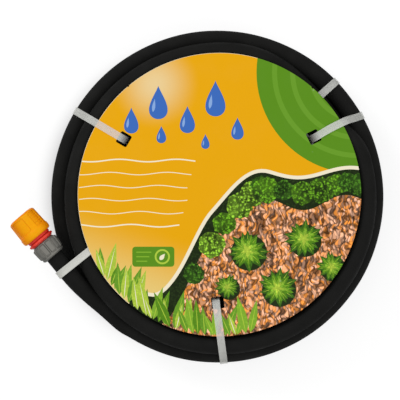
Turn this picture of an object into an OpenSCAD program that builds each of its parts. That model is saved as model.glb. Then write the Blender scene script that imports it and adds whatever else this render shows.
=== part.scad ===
// Soaker hose wound in a round roll, with its push-on connector and display card.
// The roll lies flat on its back with the card facing up (+Z).
// The origin is on the surface that it lies on, under the middle of the whole outline.

/* [Hose] */
// Outside diameter of the porous hose
hose_od = 18; // [17:0.1:18.4]
// Bore of the hose
hose_bore = 12.5; // [12:0.1:12.9]

/* [Roll] */
// Outside diameter over the outer loops
roll_od = 333; // [325:1:345]
// Clearance between neighbouring loops
loop_gap = 0.7; // [0.6:0.05:1.2]
// How far inside the outer loops' middle the front loop's middle lies
front_loop_inset = 10.5; // [9.5:0.5:12.5]
// How far the front loop lies off the roll's axis
front_loop_shift = 3.5; // [0:0.5:4]
// Turn from one step of the pile to the next one before it
step_lead = 26; // [25:1:28]
// Turn that a loop takes to step to its next place
step_span = 60; // [50:1:62]

/* [Connector] */
// Length from the mouth to the far end of the clamp nut
connector_len = 52; // [51:0.5:54]
// Radius of the release collar at its mouth
collar_mouth_r = 15; // [14.6:0.1:15.4]
// Largest radius of the release collar
collar_r = 16.2; // [15.8:0.1:17]
// Length of the release collar
collar_len = 27; // [26:0.25:27.5]
// Wall of the release collar
collar_wall = 2; // [1.7:0.1:2.2]
// Travel of the release collar towards the nut
collar_travel = 3; // [2:0.25:3.5]
// Radius of the bore that seals on the tap adaptor
socket_r = 7.25; // [7:0.05:7.4]
// Radius of the wide mouth of the socket
mouth_r = 8.75; // [8.4:0.05:8.9]
// Outside radius of the socket's barrel
barrel_r = 10.2; // [10:0.1:10.5]
// Radius of the body's flange ring
flange_r = 13.7; // [13.5:0.1:14.4]
// Radius of the water way through the stem
waterway_r = 4.4; // [3.5:0.1:4.6]
// Hole in the flow restrictor
restrictor_hole_r = 1.2; // [0.8:0.1:2]
// How far a claw moves out when the collar is pulled back
claw_travel = 1.2; // [0.9:0.1:1.3]
// Width of a locking claw
claw_w = 4.5; // [4:0.1:5]

/* [Clamp nut] */
// Largest radius of the clamp nut
nut_r = 14.5; // [14.3:0.1:15]
// Radius of the nut's hose end
nut_end_r = 12.6; // [12.2:0.1:13]
// Number of raised grips round the nut
grip_count = 12; // [10:1:16]
// Radius of the nut's threaded collar on the body
thread_r = 11.1; // [10.9:0.1:11.3]
// Wall of the grip ring
grip_ring_wall = 1.3; // [1:0.1:1.4]

/* [Card] */
// Radius of the display card
card_r = 141.5; // [140:0.5:143]
// Thickness of the display card
card_t = 0.6; // [0.4:0.1:1]
// How far the card lies off the roll's axis, across and up
card_shift = 2; // [0:0.5:3]
// Length of a tie slot, along the tie
slot_len = 12; // [10:0.5:14]
// Width of a tie slot
slot_w = 12.6; // [11:0.1:14]

/* [Ties] */
// Width of a tie
tie_w = 7.6; // [6:0.1:9]
// Thickness of a tie's strap
tie_t = 1.2; // [1:0.1:1.6]
// Clearance between a tie and what it holds
tie_gap = 0.3; // [0.25:0.05:0.5]
// Length of a tie's head, along the tie
tie_head_len = 9; // [8:0.5:12]
// Height of a tie's head above its strap
tie_head_h = 4.5; // [4:0.25:6]

/* [Stop end] */
// Length of the straight stop end of the hose
stop_len = 20; // [18:1:24]
// Length of the plug inside the stop end
plug_len = 14; // [10:1:16]
// Thickness of the plug's flange
plug_flange = 3; // [2:0.5:4]
// Width of the clip round the stop end
clip_w = 7; // [5:0.5:9]
// Thickness of the clip
clip_t = 0.8; // [0.6:0.1:1.2]

/* [Hidden] */
$fn = 64;

// Clearances between pieces
slide_gap = 0.3;     // round pieces of two bodies
hose_fit = 0.1;      // hose on its stem and in its collet
seat_gap = 0.1;      // a loose disc or plug in its seat
eps = 0.01;

// The pile: places are numbered along the hose, from the tail (0) inwards.
// Odd columns climb and even columns come down, so each step is to the next place.
layers = 4;
columns = 3;
last_place = layers * columns - 1;
hose_r = hose_od / 2;
pitch = hose_od + loop_gap;
outer_loop_r = roll_od / 2 - hose_r;
front_loop_r = outer_loop_r - front_loop_inset;
first_layer_z = tie_t + tie_gap + hose_r;
top_layer_z = first_layer_z + (layers - 1) * pitch;
roll_top_z = top_layer_z + hose_r;
front_loop_az = 330;   // the side that the front loop leans to

// Rings of the wound tube
rings_per_loop = 24;
coil_sides = 6;
ring_turn = 360 / rings_per_loop;
coil_start = 240;              // azimuth where the tail has come down to its place
second_step = 170 + 360;       // where the first full loop steps down
// The front loop comes up, moves out and goes on inwards within short turns: [start, turn]
front_place = 2 * layers - 1;
front_up = [35 + 6 * 360, 40];
front_out = [45 + 6 * 360, 35];
front_leave = [15 + 7 * 360, 35];
late_lead = 15;                // the steps after it start this much earlier
coil_end = coil_start + 360 * 10;
tuck_span = 38;                // the last loop draws in over this turn
tuck_start = coil_end - tuck_span;
tuck_r = 8.5;                  // how far it draws in

// The free stretch from the connector to the roll: azimuth, how far outside the outer loops'
// middle, and how far down from the top layer. It comes down by one layer.
tail_route = [[202.36, 13.35, 0], [205.44, 10.8, 0.03], [208.34, 8.95, 0.11], [210.93, 7.45, 0.235],
    [213.64, 5.85, 0.4], [216.4, 4.25, 0.575], [219.3, 2.75, 0.725], [222.32, 1.4, 0.845],
    [225.38, 0.55, 0.925]];
tail_sides = 12;
connector_az = 310.45;         // direction of the connector's axis, from mouth to hose

// Stations along the connector's axis, from the mouth
inlet_free_len = 8;                  // the hose stays straight this far past the nut
hose_end_s = connector_len + inlet_free_len;
flange_s = collar_len + collar_travel + 0.8;
flange_t = 2;
lip_s = flange_s + flange_t;         // small lip behind the flange
lip_t = 1.2;
nut_s = lip_s + lip_t + slide_gap;   // near end of the clamp nut
seat_s = nut_s + 1.3;                // the hose's end butts here
neck_s = collar_len - 1;             // front face of the neck, behind the spring
collar_bore = collar_mouth_r - collar_wall;
neck_r = collar_bore - slide_gap;
claw_s = 8;                          // middle of the claws
claw_len = 4;
claw_back_r = barrel_r + 0.7;
land_grip = 0.8;                     // how far the collar's land reaches over the claws
land_s = claw_s + claw_len / 2 - land_grip;
land_len = 2;
land_r = claw_back_r + claw_travel * land_grip / collar_travel + slide_gap / 2;
mouth_depth = 14;                    // wide part of the socket
socket_end = 25;                     // bottom of the sealing bore
disc_t = 1.2;                        // flow restrictor
disc_r = waterway_r + 1.5;
panel_to = collar_len * 0.72;        // the collar's step
panel_land = 0.6;                    // the sunk panels end this far before the step
panel_d = 0.9;
// Rounded nose and rounded rear band of the collar, as [less than the radius, along] steps
collar_nose = [[3, 0], [1.2, 0.5], [0.3, 1.3], [0, 2.4]];
collar_band = [[0, 3.2], [0.4, 1.5], [0.9, 0.5], [1.5, 0]];
ledge_s = 16;                        // spring's ledge inside the collar
ledge_t = 1.4;
thread_len = 5;
stem_r = hose_bore / 2 - hose_fit;
ring_inner_r = hose_r + hose_fit;
ring_outer_r = ring_inner_r + grip_ring_wall;
ring_s = seat_s + thread_len - 1.3 + slide_gap;   // the grip ring lies past the thread
ring_end = connector_len - 1.6;
nut_bore_r = max(ring_outer_r, thread_r) + 0.05;
nut_mouth_r = hose_r + 0.6;
spring_r = (barrel_r + collar_bore) / 2;
spring_wire_r = 0.55;
spring_turns = 4;

// Where things stand
tail_top = [for (p = tail_route)
    let (r = outer_loop_r + p[1]) [r * cos(p[0]), r * sin(p[0]), top_layer_z - p[2] * pitch]];
mouth_xy = [tail_top[0].x, tail_top[0].y] - hose_end_s * [cos(connector_az), sin(connector_az)];
connector_reach = max([for (p = collar_nose)
    (collar_mouth_r - p[0]) * abs(sin(connector_az)) - p[1] * cos(connector_az)]) - mouth_xy.x;
roll_x = (connector_reach - roll_od / 2) / 2;   // brings the outline's middle to the origin

// The card and its ties
card_middle = [card_shift, card_shift];
hose_tie_top = roll_top_z + tie_gap + tie_t;
card_z = hose_tie_top + tie_gap;
card_tie_peg_z = card_z + card_t - hose_r;
// Each tie lies along a line: its direction, and how far it passes the roll's axis
left_tie = [149.6, 2.1];
right_tie = [26, -9.6];
bottom_tie = [277.4, 15];
upper_tie = [42, -6.3];
lower_tie = [218.6, 37.4];
// Each slot: azimuth about the card's middle, and how far inside the card's rim
slots = [[149.9, 31.2], [31.4, 31.2], [269.1, 33.5]];
slot_centres = [for (s = slots) card_middle + on_circle(card_r - s[1], s[0])];

/* Helpers */

// Smooth step from 0 to 1
function ease(t) = t <= 0 ? 0 : t >= 1 ? 1 : t * t * (3 - 2 * t);
function unit(v) = v / norm(v);
function on_circle(r, a) = [r * cos(a), r * sin(a)];

// Column, layer, radius and height of a place in the pile
function place_column(n) = floor(n / layers);
function place_layer(n) = place_column(n) % 2 == 0 ? layers - n % layers : 1 + n % layers;
function is_front(n) = n == front_place;
function lean(az) = front_loop_shift * cos(az - front_loop_az);
function place_r(n, az) = is_front(n) ? front_loop_r + lean(az)
    : outer_loop_r - place_column(n) * pitch;
function place_z(n) = first_layer_z + (place_layer(n) - 1) * pitch;

// Azimuth, counted on round the turns, where the hose steps on to place n, and the turn it takes
function step_start(n) = n == front_place ? front_up[0] : n == front_place + 1 ? front_leave[0]
    : second_step + (n - 2) * (360 - step_lead) - (n > front_place ? late_lead : 0);
function step_turn(n) = n == front_place ? front_up[1] : n == front_place + 1 ? front_leave[1]
    : step_span;
// The same for its move across the pile
function cross_start(n) = n == front_place ? front_out[0] : step_start(n);
function cross_turn(n) = n == front_place ? front_out[1] : step_turn(n);
function coil_r(a) = place_r(1, a) - tuck_r * ease((a - tuck_start) / tuck_span)
    + step_sum([for (n = [2:last_place])
        (place_r(n, a) - place_r(n - 1, a)) * ease((a - cross_start(n)) / cross_turn(n))]);
function coil_z(a) = place_z(1)
    + step_sum([for (n = [2:last_place])
        (place_z(n) - place_z(n - 1)) * ease((a - step_start(n)) / step_turn(n))]);
function step_sum(v, i = 0) = i == len(v) ? 0 : v[i] + step_sum(v, i + 1);
function coil_point(a) = let (p = on_circle(coil_r(a), a)) [p.x, p.y, coil_z(a)];

// Tube swept along points; its first and last rings are square to the end directions
function side_way(t) = unit(cross(t, [0, 0, 1]));
function ring_at(p, t, r, sides) = let (u = side_way(t), w = cross(u, t))
    [for (k = [0:sides - 1]) p + r * (cos(k * 360 / sides) * u + sin(k * 360 / sides) * w)];
function way_at(path, i, first, last) = i == 0 ? first : i == len(path) - 1 ? last
    : unit(path[i + 1] - path[i - 1]);
function tube_points(path, r, sides, first, last) = [for (i = [0:len(path) - 1])
    each ring_at(path[i], way_at(path, i, first, last), r, sides)];
function tube_walls(rings, sides) = [for (i = [0:rings - 2], k = [0:sides - 1])
    let (a = i * sides + k, b = i * sides + (k + 1) % sides)
    each [[a, b, b + sides], [a, b + sides, a + sides]]];
function fan(first, sides, flip) = [for (k = [1:sides - 2])
    flip ? [first, first + k + 1, first + k] : [first, first + k, first + k + 1]];

module tube(path, r, sides, first, last) {
    rings = len(path);
    polyhedron(tube_points(path, r, sides, first, last),
        concat(tube_walls(rings, sides), fan(0, sides, true), fan((rings - 1) * sides, sides, false)));
}

// The wound tube: straight for one diameter at both ends, loops in between
function tangent(a) = let (d = coil_point(a + 0.5) - coil_point(a - 0.5)) unit([d.x, d.y, 0]);
coil_in = tangent(coil_start);
coil_out = tangent(coil_end);
coil_loops = [for (a = [coil_start:ring_turn:coil_end + eps]) coil_point(a)];
coil_path = concat([coil_loops[0] - hose_od * coil_in], coil_loops,
    [coil_loops[len(coil_loops) - 1] + hose_od * coil_out]);
coil_first = coil_path[0];
coil_last = coil_path[len(coil_path) - 1];
tail_path = concat(tail_top, [coil_first - hose_r * coil_in + [0, 0, eps], coil_first]);

// Least gap of the wound tube to itself, between rings that lie half a turn or more apart
least_gap = min([for (i = [0:len(coil_path) - 1])
    let (ahead = [for (j = [i + rings_per_loop / 2:1:len(coil_path) - 1])
        norm(coil_path[j] - coil_path[i])])
    len(ahead) == 0 ? 2 * hose_od : min(ahead)]) * cos(ring_turn / 2) - hose_od;
function path_len(p, i = 1) = i == len(p) ? 0 : norm(p[i] - p[i - 1]) + path_len(p, i + 1);
// Hose loops are arcs, so their true length is a little more than their chords'
hose_len = path_len(coil_path) * (ring_turn / 2 * PI / 180) / sin(ring_turn / 2) + path_len(tail_path)
    + hose_end_s - seat_s + stop_len;

/* Places */

module at_roll() {
    translate([roll_x, 0, 0]) children();
}

// Connector pieces are drawn with +Z from the mouth towards the hose
module at_connector() {
    at_roll() translate([mouth_xy.x, mouth_xy.y, top_layer_z])
        rotate([0, 90, connector_az]) children();
}

module at_stop_end() {
    at_roll() translate(coil_last)
        rotate([0, 90, atan2(coil_out.y, coil_out.x)]) children();
}

module ring_solid(r_out, r_in, from, to) {
    translate([0, 0, from]) difference() {
        cylinder(h = to - from, r = r_out);
        translate([0, 0, -1]) cylinder(h = to - from + 2, r = r_in);
    }
}

/* Hose */

module hose_coil() {
    color("#1e1e1b") at_roll() tube(coil_path, hose_r, coil_sides, coil_in, coil_out);
}

module hose_tail() {
    start_way = [cos(connector_az), sin(connector_az), 0];
    color("#1e1e1b") at_roll() tube(tail_path, hose_r, tail_sides, start_way, coil_in);
}

module hose_inlet_end() {
    color("#1e1e1b") at_connector() ring_solid(hose_r, hose_bore / 2, seat_s + seat_gap, hose_end_s);
}

module hose_stop_end() {
    color("#1e1e1b") at_stop_end() ring_solid(hose_r, hose_bore / 2, 0, stop_len);
}

/* Connector */

// Outline of the release collar's wall. Inside it are the mouth's lip, the land that keeps
// the claws in, and the spring's ledge.
module collar_profile() {
    front_lip_t = 2.2;
    inner_r = barrel_r + slide_gap;
    polygon(concat([[inner_r, 0]], [for (p = collar_nose) [collar_mouth_r - p[0], p[1]]],
        [[collar_r - 0.5, panel_to], [collar_r, panel_to + 0.8]],
        [for (p = collar_band) [collar_r - p[0], collar_len - p[1]]],
        [[collar_bore, collar_len],
        [collar_bore, ledge_s + ledge_t], [inner_r, ledge_s + ledge_t],
        [inner_r, ledge_s], [collar_bore, ledge_s],
        [collar_bore, land_s + land_len], [land_r, land_s + land_len],
        [land_r, land_s], [collar_bore, land_s],
        [collar_bore, front_lip_t], [inner_r, front_lip_t]]));
}

module release_collar() {
    panel_w = 19;
    panel_from = 3.2;
    panel_len = panel_to - panel_land - panel_from;
    color("#f59a05") at_connector() difference() {
        rotate_extrude() collar_profile();
        // sunk thumb panels on two sides
        for (side = [45, 225]) rotate([0, 0, side])
            translate([collar_mouth_r - panel_d, -panel_w / 2, panel_from])
                cube([3, panel_w, panel_len]);
        // finger hollow round the middle of the other two sides
        for (side = [135, 315]) rotate([0, 0, side])
            translate([collar_mouth_r - panel_d / 2, -panel_w / 3, panel_from])
                cube([3, panel_w * 2 / 3, panel_len]);
    }
}

function spring_point(t) = [spring_r * cos(360 * t), spring_r * sin(360 * t),
    ledge_s + ledge_t + spring_wire_r + 0.3
    + (neck_s - ledge_s - ledge_t - 2 * spring_wire_r - 0.6) * t / spring_turns];

module collar_spring() {
    path = [for (i = [0:spring_turns * 12]) spring_point(i / 12)];
    color("#b9bcbe") at_connector()
        tube(path, spring_wire_r, 6, [0, 1, 0], [0, 1, 0]);
}

module claw_window(extra) {
    translate([0, -claw_w / 2 - extra, claw_s - claw_len / 2 - extra])
        cube([barrel_r + 2, claw_w + 2 * extra, claw_len + 2 * extra]);
}

module connector_body() {
    lug_w = 5;
    lug_h = 0.9;
    lug_root = 2;
    barb_w = 3.2;
    barb_from = seat_s + 3;
    stem_end = connector_len - 2;
    nose_s = 0.8;
    thread_end = seat_s + thread_len - 1.3;
    color("#d02a20") at_connector() difference() {
        union() {
            translate([0, 0, nose_s]) cylinder(h = neck_s - nose_s + eps, r = barrel_r);
            translate([0, 0, neck_s]) cylinder(h = flange_s - neck_s + eps, r = neck_r);
            translate([0, 0, flange_s]) cylinder(h = flange_t, r = flange_r);
            // side lugs on the flange
            for (side = [0, 90, 180, 270]) rotate([0, 0, side])
                translate([flange_r - lug_root, -lug_w / 2, flange_s])
                    cube([lug_root + lug_h, lug_w, flange_t]);
            translate([0, 0, lip_s - eps]) cylinder(h = lip_t + eps, r = neck_r - 0.4);
            translate([0, 0, lip_s]) cylinder(h = thread_end - lip_s, r = thread_r);
            // stem with barbs
            translate([0, 0, lip_s]) cylinder(h = stem_end - lip_s, r = stem_r - 0.35);
            for (s = [barb_from:barb_w:stem_end - barb_w]) translate([0, 0, s])
                cylinder(h = barb_w - 0.6, r1 = stem_r, r2 = stem_r - 0.35);
        }
        // socket, restrictor's seat and water way
        cylinder(h = mouth_depth, r = mouth_r);
        translate([0, 0, mouth_depth - eps]) cylinder(h = socket_end - mouth_depth + eps, r = socket_r);
        translate([0, 0, socket_end - 1]) cylinder(h = 1 + disc_t + 2 * seat_gap, r = disc_r + seat_gap);
        translate([0, 0, socket_end]) cylinder(h = connector_len, r = waterway_r);
        // the hose's end slips in between the stem and the threaded collar
        translate([0, 0, seat_s]) difference() {
            cylinder(h = connector_len, r = ring_inner_r);
            translate([0, 0, -1]) cylinder(h = connector_len + 2, r = stem_r + eps);
        }
        // windows for the four claws
        for (i = [0:3]) rotate([0, 0, 45 + 90 * i]) claw_window(slide_gap);
    }
}

// A claw's nose stands in the socket and its back bears on the collar
module locking_claw(i) {
    nose_r = socket_r + 0.35;
    color("#c9ccce") at_connector() rotate([0, 0, 45 + 90 * i]) intersection() {
        claw_window(0);
        ring_solid(claw_back_r, nose_r, claw_s - claw_len, claw_s + claw_len);
    }
}

module flow_restrictor() {
    color("#e8e4d8") at_connector()
        ring_solid(disc_r, restrictor_hole_r, socket_end + seat_gap, socket_end + seat_gap + disc_t);
}

module grip_ring() {
    slit_w = 1.2;
    color("#8a8a82") at_connector() difference() {
        ring_solid(ring_outer_r, ring_inner_r, ring_s, ring_end);
        // slits that make the springy fingers
        for (i = [0:5]) rotate([0, 0, 60 * i])
            translate([0, -slit_w / 2, ring_s + 2.5]) cube([nut_r, slit_w, ring_end]);
    }
}

module clamp_nut() {
    rib_w = 4.2;
    rib_from = nut_s + 3.2;
    rib_to = connector_len - 1.2;
    shell_t = 0.9;
    color("#74746d") at_connector() difference() {
        union() {
            rotate_extrude() polygon([[0, nut_s], [nut_r - 2.5, nut_s], [nut_r - shell_t, nut_s + 2.8],
                [nut_end_r - shell_t + 0.4, connector_len - 1], [nut_end_r - shell_t - 0.3, connector_len],
                [0, connector_len]]);
            // raised grips
            intersection() {
                for (i = [0:grip_count - 1]) rotate([0, 0, 360 / grip_count * i])
                    translate([0, -rib_w / 2, rib_from]) cube([nut_r + 1, rib_w, rib_to - rib_from]);
                rotate_extrude() polygon([[0, nut_s], [nut_r - 1.4, nut_s + 3], [nut_r, nut_s + 4.2],
                    [nut_end_r + 0.3, rib_to - 0.8], [nut_end_r - 0.5, rib_to], [0, rib_to]]);
            }
        }
        translate([0, 0, nut_s - 1]) cylinder(h = ring_end + slide_gap - nut_s + 1, r = nut_bore_r);
        cylinder(h = 2 * connector_len, r = nut_mouth_r);
    }
}

/* Stop end */

module end_plug() {
    plug_r = hose_bore / 2 - hose_fit;
    color("#2b2b2b") at_stop_end() {
        translate([0, 0, stop_len - plug_len]) cylinder(h = plug_len + eps, r = plug_r);
        translate([0, 0, stop_len]) cylinder(h = plug_flange, r = hose_r);
    }
}

module end_clip() {
    ear = 2.4;
    color("#9da1a3") at_stop_end() {
        difference() {
            union() {
                ring_solid(hose_r + hose_fit + clip_t, hose_r + hose_fit, stop_len - 3 - clip_w,
                    stop_len - 3);
                translate([-1.5, hose_r, stop_len - 3 - clip_w]) cube([3, ear + clip_t, clip_w]);
            }
            cylinder(h = 2 * stop_len, r = hose_r + hose_fit);
        }
    }
}

/* Card and ties */

module tie_slot(i, tie) {
    corner_r = 1.5;
    translate(slot_centres[i]) rotate(tie[0]) union() {
        square([slot_len - 2 * corner_r, slot_w], center = true);
        square([slot_len, slot_w - 2 * corner_r], center = true);
        for (x = [-1, 1], y = [-1, 1])
            translate([x * (slot_len / 2 - corner_r), y * (slot_w / 2 - corner_r)])
                circle(r = corner_r);
    }
}

module display_card() {
    notch_r = 1.6;
    color("#f2b705") at_roll() translate([0, 0, card_z]) linear_extrude(card_t) difference() {
        translate(card_middle) circle(r = card_r, $fn = 180);
        tie_slot(0, left_tie);
        tie_slot(1, right_tie);
        tie_slot(2, bottom_tie);
        // two nicks in the rim
        for (az = [49, 130])
            translate(card_middle + on_circle(card_r + 0.4, az)) circle(r = notch_r);
    }
}

// A tie's line across the roll: how far along it a circle of radius r is crossed
function along(tie, r) = sqrt(r * r - tie[1] * tie[1]);
// A slanting cut makes the hose wider; this is by how much
function slant(tie, r) = let (b = asin(abs(tie[1]) / r) + ring_turn / 2)
    hose_r / cos(b) - hose_r + tie_w / 2 * tan(b);

// Middle of the wound tube at an azimuth counted round the turns, on its straight pieces
function tube_point(a) = let (i = floor((a - coil_start) / ring_turn),
    t = (a - coil_start) / ring_turn - i) (1 - t) * coil_loops[i] + t * coil_loops[i + 1];
// Turns of the hose that a tie goes round, as pegs [along the tie, up] on both sides of each,
// after one for the pile's inner foot
function tie_pegs(tie) = let (foot_r = place_r(last_place, 0) * cos(ring_turn / 2))
    [[along(tie, foot_r) - slant(tie, foot_r), first_layer_z],
    for (turns = [tie[0]:360:coil_end + 360])
    let (a0 = turns - asin(tie[1] / outer_loop_r))
    if (a0 > coil_start && a0 < coil_end - ring_turn)
        let (a = turns - asin(tie[1] / coil_r(a0)), p = tube_point(a), r = norm([p.x, p.y]))
        each [[along(tie, r) - slant(tie, r), p.z], [along(tie, r) + slant(tie, r), p.z]]];

// Outermost pegs of a set, counter-clockwise from the lowest one
function side_of(a, b, c) = (b.x - a.x) * (c.y - a.y) - (b.y - a.y) * (c.x - a.x);
function beats(a, b, c) = let (s = side_of(a, b, c))
    c != a && (b == a || s < -0.001 || (s < 0.001 && norm(c - a) > norm(b - a)));
function next_peg(p, a, best, i = 0) = i == len(p) ? best
    : next_peg(p, a, beats(a, best, p[i]) ? p[i] : best, i + 1);
function wrap(p, a, first) = let (b = next_peg(p, a, a))
    b == first ? [a] : concat([a], wrap(p, b, first));
function lowest(p, best, i = 0) = i == len(p) ? best
    : lowest(p, p[i].y < best.y - 0.001 || (p[i].y < best.y + 0.001 && p[i].x < best.x)
        ? p[i] : best, i + 1);
function outermost(p) = let (first = lowest(p, p[0])) wrap(p, first, first);

// Belt round equal pegs, given counter-clockwise
function turn_of(v) = atan2(v.y, v.x);
function belt(pegs, r) = let (n = len(pegs), arc = 5)
    [for (i = [0:n - 1])
        let (a = turn_of(pegs[i] - pegs[(i + n - 1) % n]) - 90,
            b0 = turn_of(pegs[(i + 1) % n] - pegs[i]) - 90,
            b = b0 < a ? b0 + 360 : b0,
            parts = max(1, ceil((b - a) / 90 * arc)))
        for (k = [0:parts]) pegs[i] + on_circle(r, a + (b - a) * k / parts)];

// The side of a belt that falls the most lies along the roll's inner side
function fall(pegs, i) = pegs[i].y - pegs[(i + 1) % len(pegs)].y;
function inner_side(pegs, best = 0, i = 1) = i == len(pegs) ? best
    : inner_side(pegs, fall(pegs, i) > fall(pegs, best) ? i : best, i + 1);

// The strap goes round the pegs, and its head and cut tail stand on the roll's inner side
module tie(t, pegs) {
    r = hose_r + tie_gap;
    side = inner_side(pegs);
    from = pegs[side];
    to = pegs[(side + 1) % len(pegs)];
    head_overhang = 0.6;
    bite = tie_t * 0.6;
    head_y = bite - r - tie_t - tie_head_h;
    cut_tail = 2.4;
    color("#d9dbd2", 0.8) at_roll() rotate([0, 0, t[0]]) translate([0, -t[1], 0])
        rotate([90, 0, 0]) translate([0, 0, -tie_w / 2]) {
            linear_extrude(tie_w) difference() {
                polygon(belt(pegs, r + tie_t));
                polygon(belt(pegs, r));
            }
            translate((from + to) / 2) rotate(turn_of(to - from)) {
                translate([-tie_head_len / 2, head_y, -head_overhang])
                    cube([tie_head_len, tie_head_h, tie_w + 2 * head_overhang]);
                translate([-tie_t / 2, head_y - cut_tail, head_overhang / 2])
                    cube([tie_t, cut_tail + bite, tie_w - head_overhang]);
            }
        }
}

// A card tie comes up through the inner end of its slot and crosses the card to its rim
module card_tie(t, slot) {
    slot_at = slot_centres[slot] * on_circle(1, t[0]);
    inner = slot_at - slot_len / 2 + tie_t + hose_r + 2 * tie_gap;
    tie(t, outermost(concat(tie_pegs(t),
        [[inner, card_tie_peg_z], [card_r + card_shift, card_tie_peg_z]])));
}

module hose_tie(t, more_pegs) {
    tie(t, outermost(concat(tie_pegs(t), more_pegs)));
}

module card_tie_left() { card_tie(left_tie, 0); }
module card_tie_right() { card_tie(right_tie, 1); }
module card_tie_bottom() { card_tie(bottom_tie, 2); }
module hose_tie_upper() { hose_tie(upper_tie, []); }
module hose_tie_lower() {
    // this one also goes round the free stretch
    crossed = tail_path[1];
    out = along(lower_tie, norm([crossed.x, crossed.y])) + tie_gap;
    hose_tie(lower_tie, [[out, crossed.z]]);
}

echo("least gap of the wound hose to itself, mm", least_gap);
echo("hose length, mm", hose_len);
echo("roll axis x, mm", roll_x, "top layer z", top_layer_z, "card z", card_z);
echo("mouth", mouth_xy, "axis", connector_az, "stations", flange_s, nut_s, seat_s, ring_s, ring_end);

hose_coil();
hose_tail();
hose_inlet_end();
hose_stop_end();
release_collar();
collar_spring();
connector_body();
locking_claw(0);  // locking_claw_1
locking_claw(1);  // locking_claw_2
locking_claw(2);  // locking_claw_3
locking_claw(3);  // locking_claw_4
flow_restrictor();
grip_ring();
clamp_nut();
end_plug();
end_clip();
display_card();
card_tie_left();
card_tie_right();
card_tie_bottom();
hose_tie_upper();
hose_tie_lower();
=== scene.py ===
"""Visual model of a soaker hose in a round roll, with its connector, display card and ties."""

import logging
import math
import random
from collections.abc import Callable, Sequence
from dataclasses import dataclass, field
from enum import Enum

import bmesh
import bpy
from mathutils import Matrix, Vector
from mathutils.geometry import delaunay_2d_cdt


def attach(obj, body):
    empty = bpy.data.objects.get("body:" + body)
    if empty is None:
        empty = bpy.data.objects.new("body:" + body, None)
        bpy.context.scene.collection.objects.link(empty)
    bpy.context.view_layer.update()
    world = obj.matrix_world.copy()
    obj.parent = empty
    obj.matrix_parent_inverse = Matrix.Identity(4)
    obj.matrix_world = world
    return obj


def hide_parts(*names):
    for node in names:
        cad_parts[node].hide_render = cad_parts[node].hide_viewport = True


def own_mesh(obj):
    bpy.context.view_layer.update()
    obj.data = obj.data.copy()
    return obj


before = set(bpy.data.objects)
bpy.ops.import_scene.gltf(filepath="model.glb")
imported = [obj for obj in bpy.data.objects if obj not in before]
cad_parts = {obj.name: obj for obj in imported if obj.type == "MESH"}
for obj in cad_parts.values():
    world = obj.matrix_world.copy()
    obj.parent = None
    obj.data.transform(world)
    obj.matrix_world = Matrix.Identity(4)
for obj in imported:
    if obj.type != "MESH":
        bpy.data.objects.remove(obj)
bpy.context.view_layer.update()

log = logging.getLogger("soaker_hose")

MM = 0.001
UP = Vector((0, 0, 1))
Rgba = tuple[float, float, float, float]
Points = list[Vector]
Spot = tuple[float, float]
Outline = list[Spot]
Face = tuple[int, ...]
Object = bpy.types.Object
Material = bpy.types.Material
NodeTree = bpy.types.NodeTree
Socket = bpy.types.NodeSocket


# ---------------------------------------------------------------- small maths


def ease(t: float) -> float:
    """Smooth step from 0 to 1."""
    t = min(1.0, max(0.0, t))
    return t * t * (3.0 - 2.0 * t)


def polar(radius: float, azimuth: float) -> Spot:
    """Point of a circle at an azimuth in degrees."""
    return radius * math.cos(math.radians(azimuth)), radius * math.sin(math.radians(azimuth))


def placed(outline: Outline, x: float, y: float, turn: float = 0.0) -> Outline:
    """Turns an outline by an angle in degrees and moves it to a place."""
    c, s = polar(1.0, turn)
    return [(x + u * c - v * s, y + u * s + v * c) for u, v in outline]


def rounded(wide: float, high: float, corner: float) -> Outline:
    """Outline of a rectangle about the origin, with round corners."""
    out: Outline = []
    for cx, cy, first in ((1, 1, 0), (-1, 1, 90), (-1, -1, 180), (1, -1, 270)):
        for more in (0, 30, 60, 90):
            u, v = polar(corner, first + more)
            out.append((u + cx * (wide / 2 - corner), v + cy * (high / 2 - corner)))
    return out


def tone(code: str) -> Rgba:
    """Turns an sRGB hex code, six digits after a hash, into the linear colour that a shader takes."""
    parts = [int(code[i : i + 2], 16) / 255 for i in (1, 3, 5)]
    low, scale, offset, power = 0.04045, 12.92, 0.055, 2.4
    red, green, blue = (c / scale if c <= low else ((c + offset) / (1.0 + offset)) ** power for c in parts)
    return red, green, blue, 1.0


def bump(x: float, low: float, high: float, soft: float) -> float:
    """1 between low and high, with soft sides of that width, and 0 outside."""
    return ease((x - low) / soft + 1.0) * ease((high - x) / soft + 1.0)


def table(x: float, rows: Sequence[Spot]) -> float:
    """Reads a value off a table of (place, value) with smooth steps between rows."""
    if x <= rows[0][0]:
        return rows[0][1]
    for (a, u), (b, v) in zip(rows, rows[1:]):
        if x <= b:
            return u + (v - u) * ease((x - a) / (b - a))
    return rows[-1][1]


# ---------------------------------------------------------------- meshes


def smooth(mesh: bpy.types.Mesh, crease: float) -> None:
    """Shades a mesh smooth, apart from edges sharper than an angle in degrees."""
    mesh.shade_smooth()
    mesh.set_sharp_from_angle(angle=math.radians(crease))


def piece(name: str, points: Sequence[Vector], faces: Sequence[Face], crease: float = 35.0) -> Object:
    """Makes a mesh object from points in millimetres in the row frame.

    Args:
        name: The piece's name.
        points: Its points, in millimetres.
        faces: Its faces, as indices into the points.
        crease: Edges sharper than this many degrees stay sharp.

    Returns:
        The new object, at the origin.
    """
    mesh = bpy.data.meshes.new(name)
    mesh.from_pydata([tuple(p * MM) for p in points], [], faces)
    mesh.validate()
    smooth(mesh, crease)
    obj = bpy.data.objects.new(name, mesh)
    bpy.context.scene.collection.objects.link(obj)
    return obj


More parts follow.
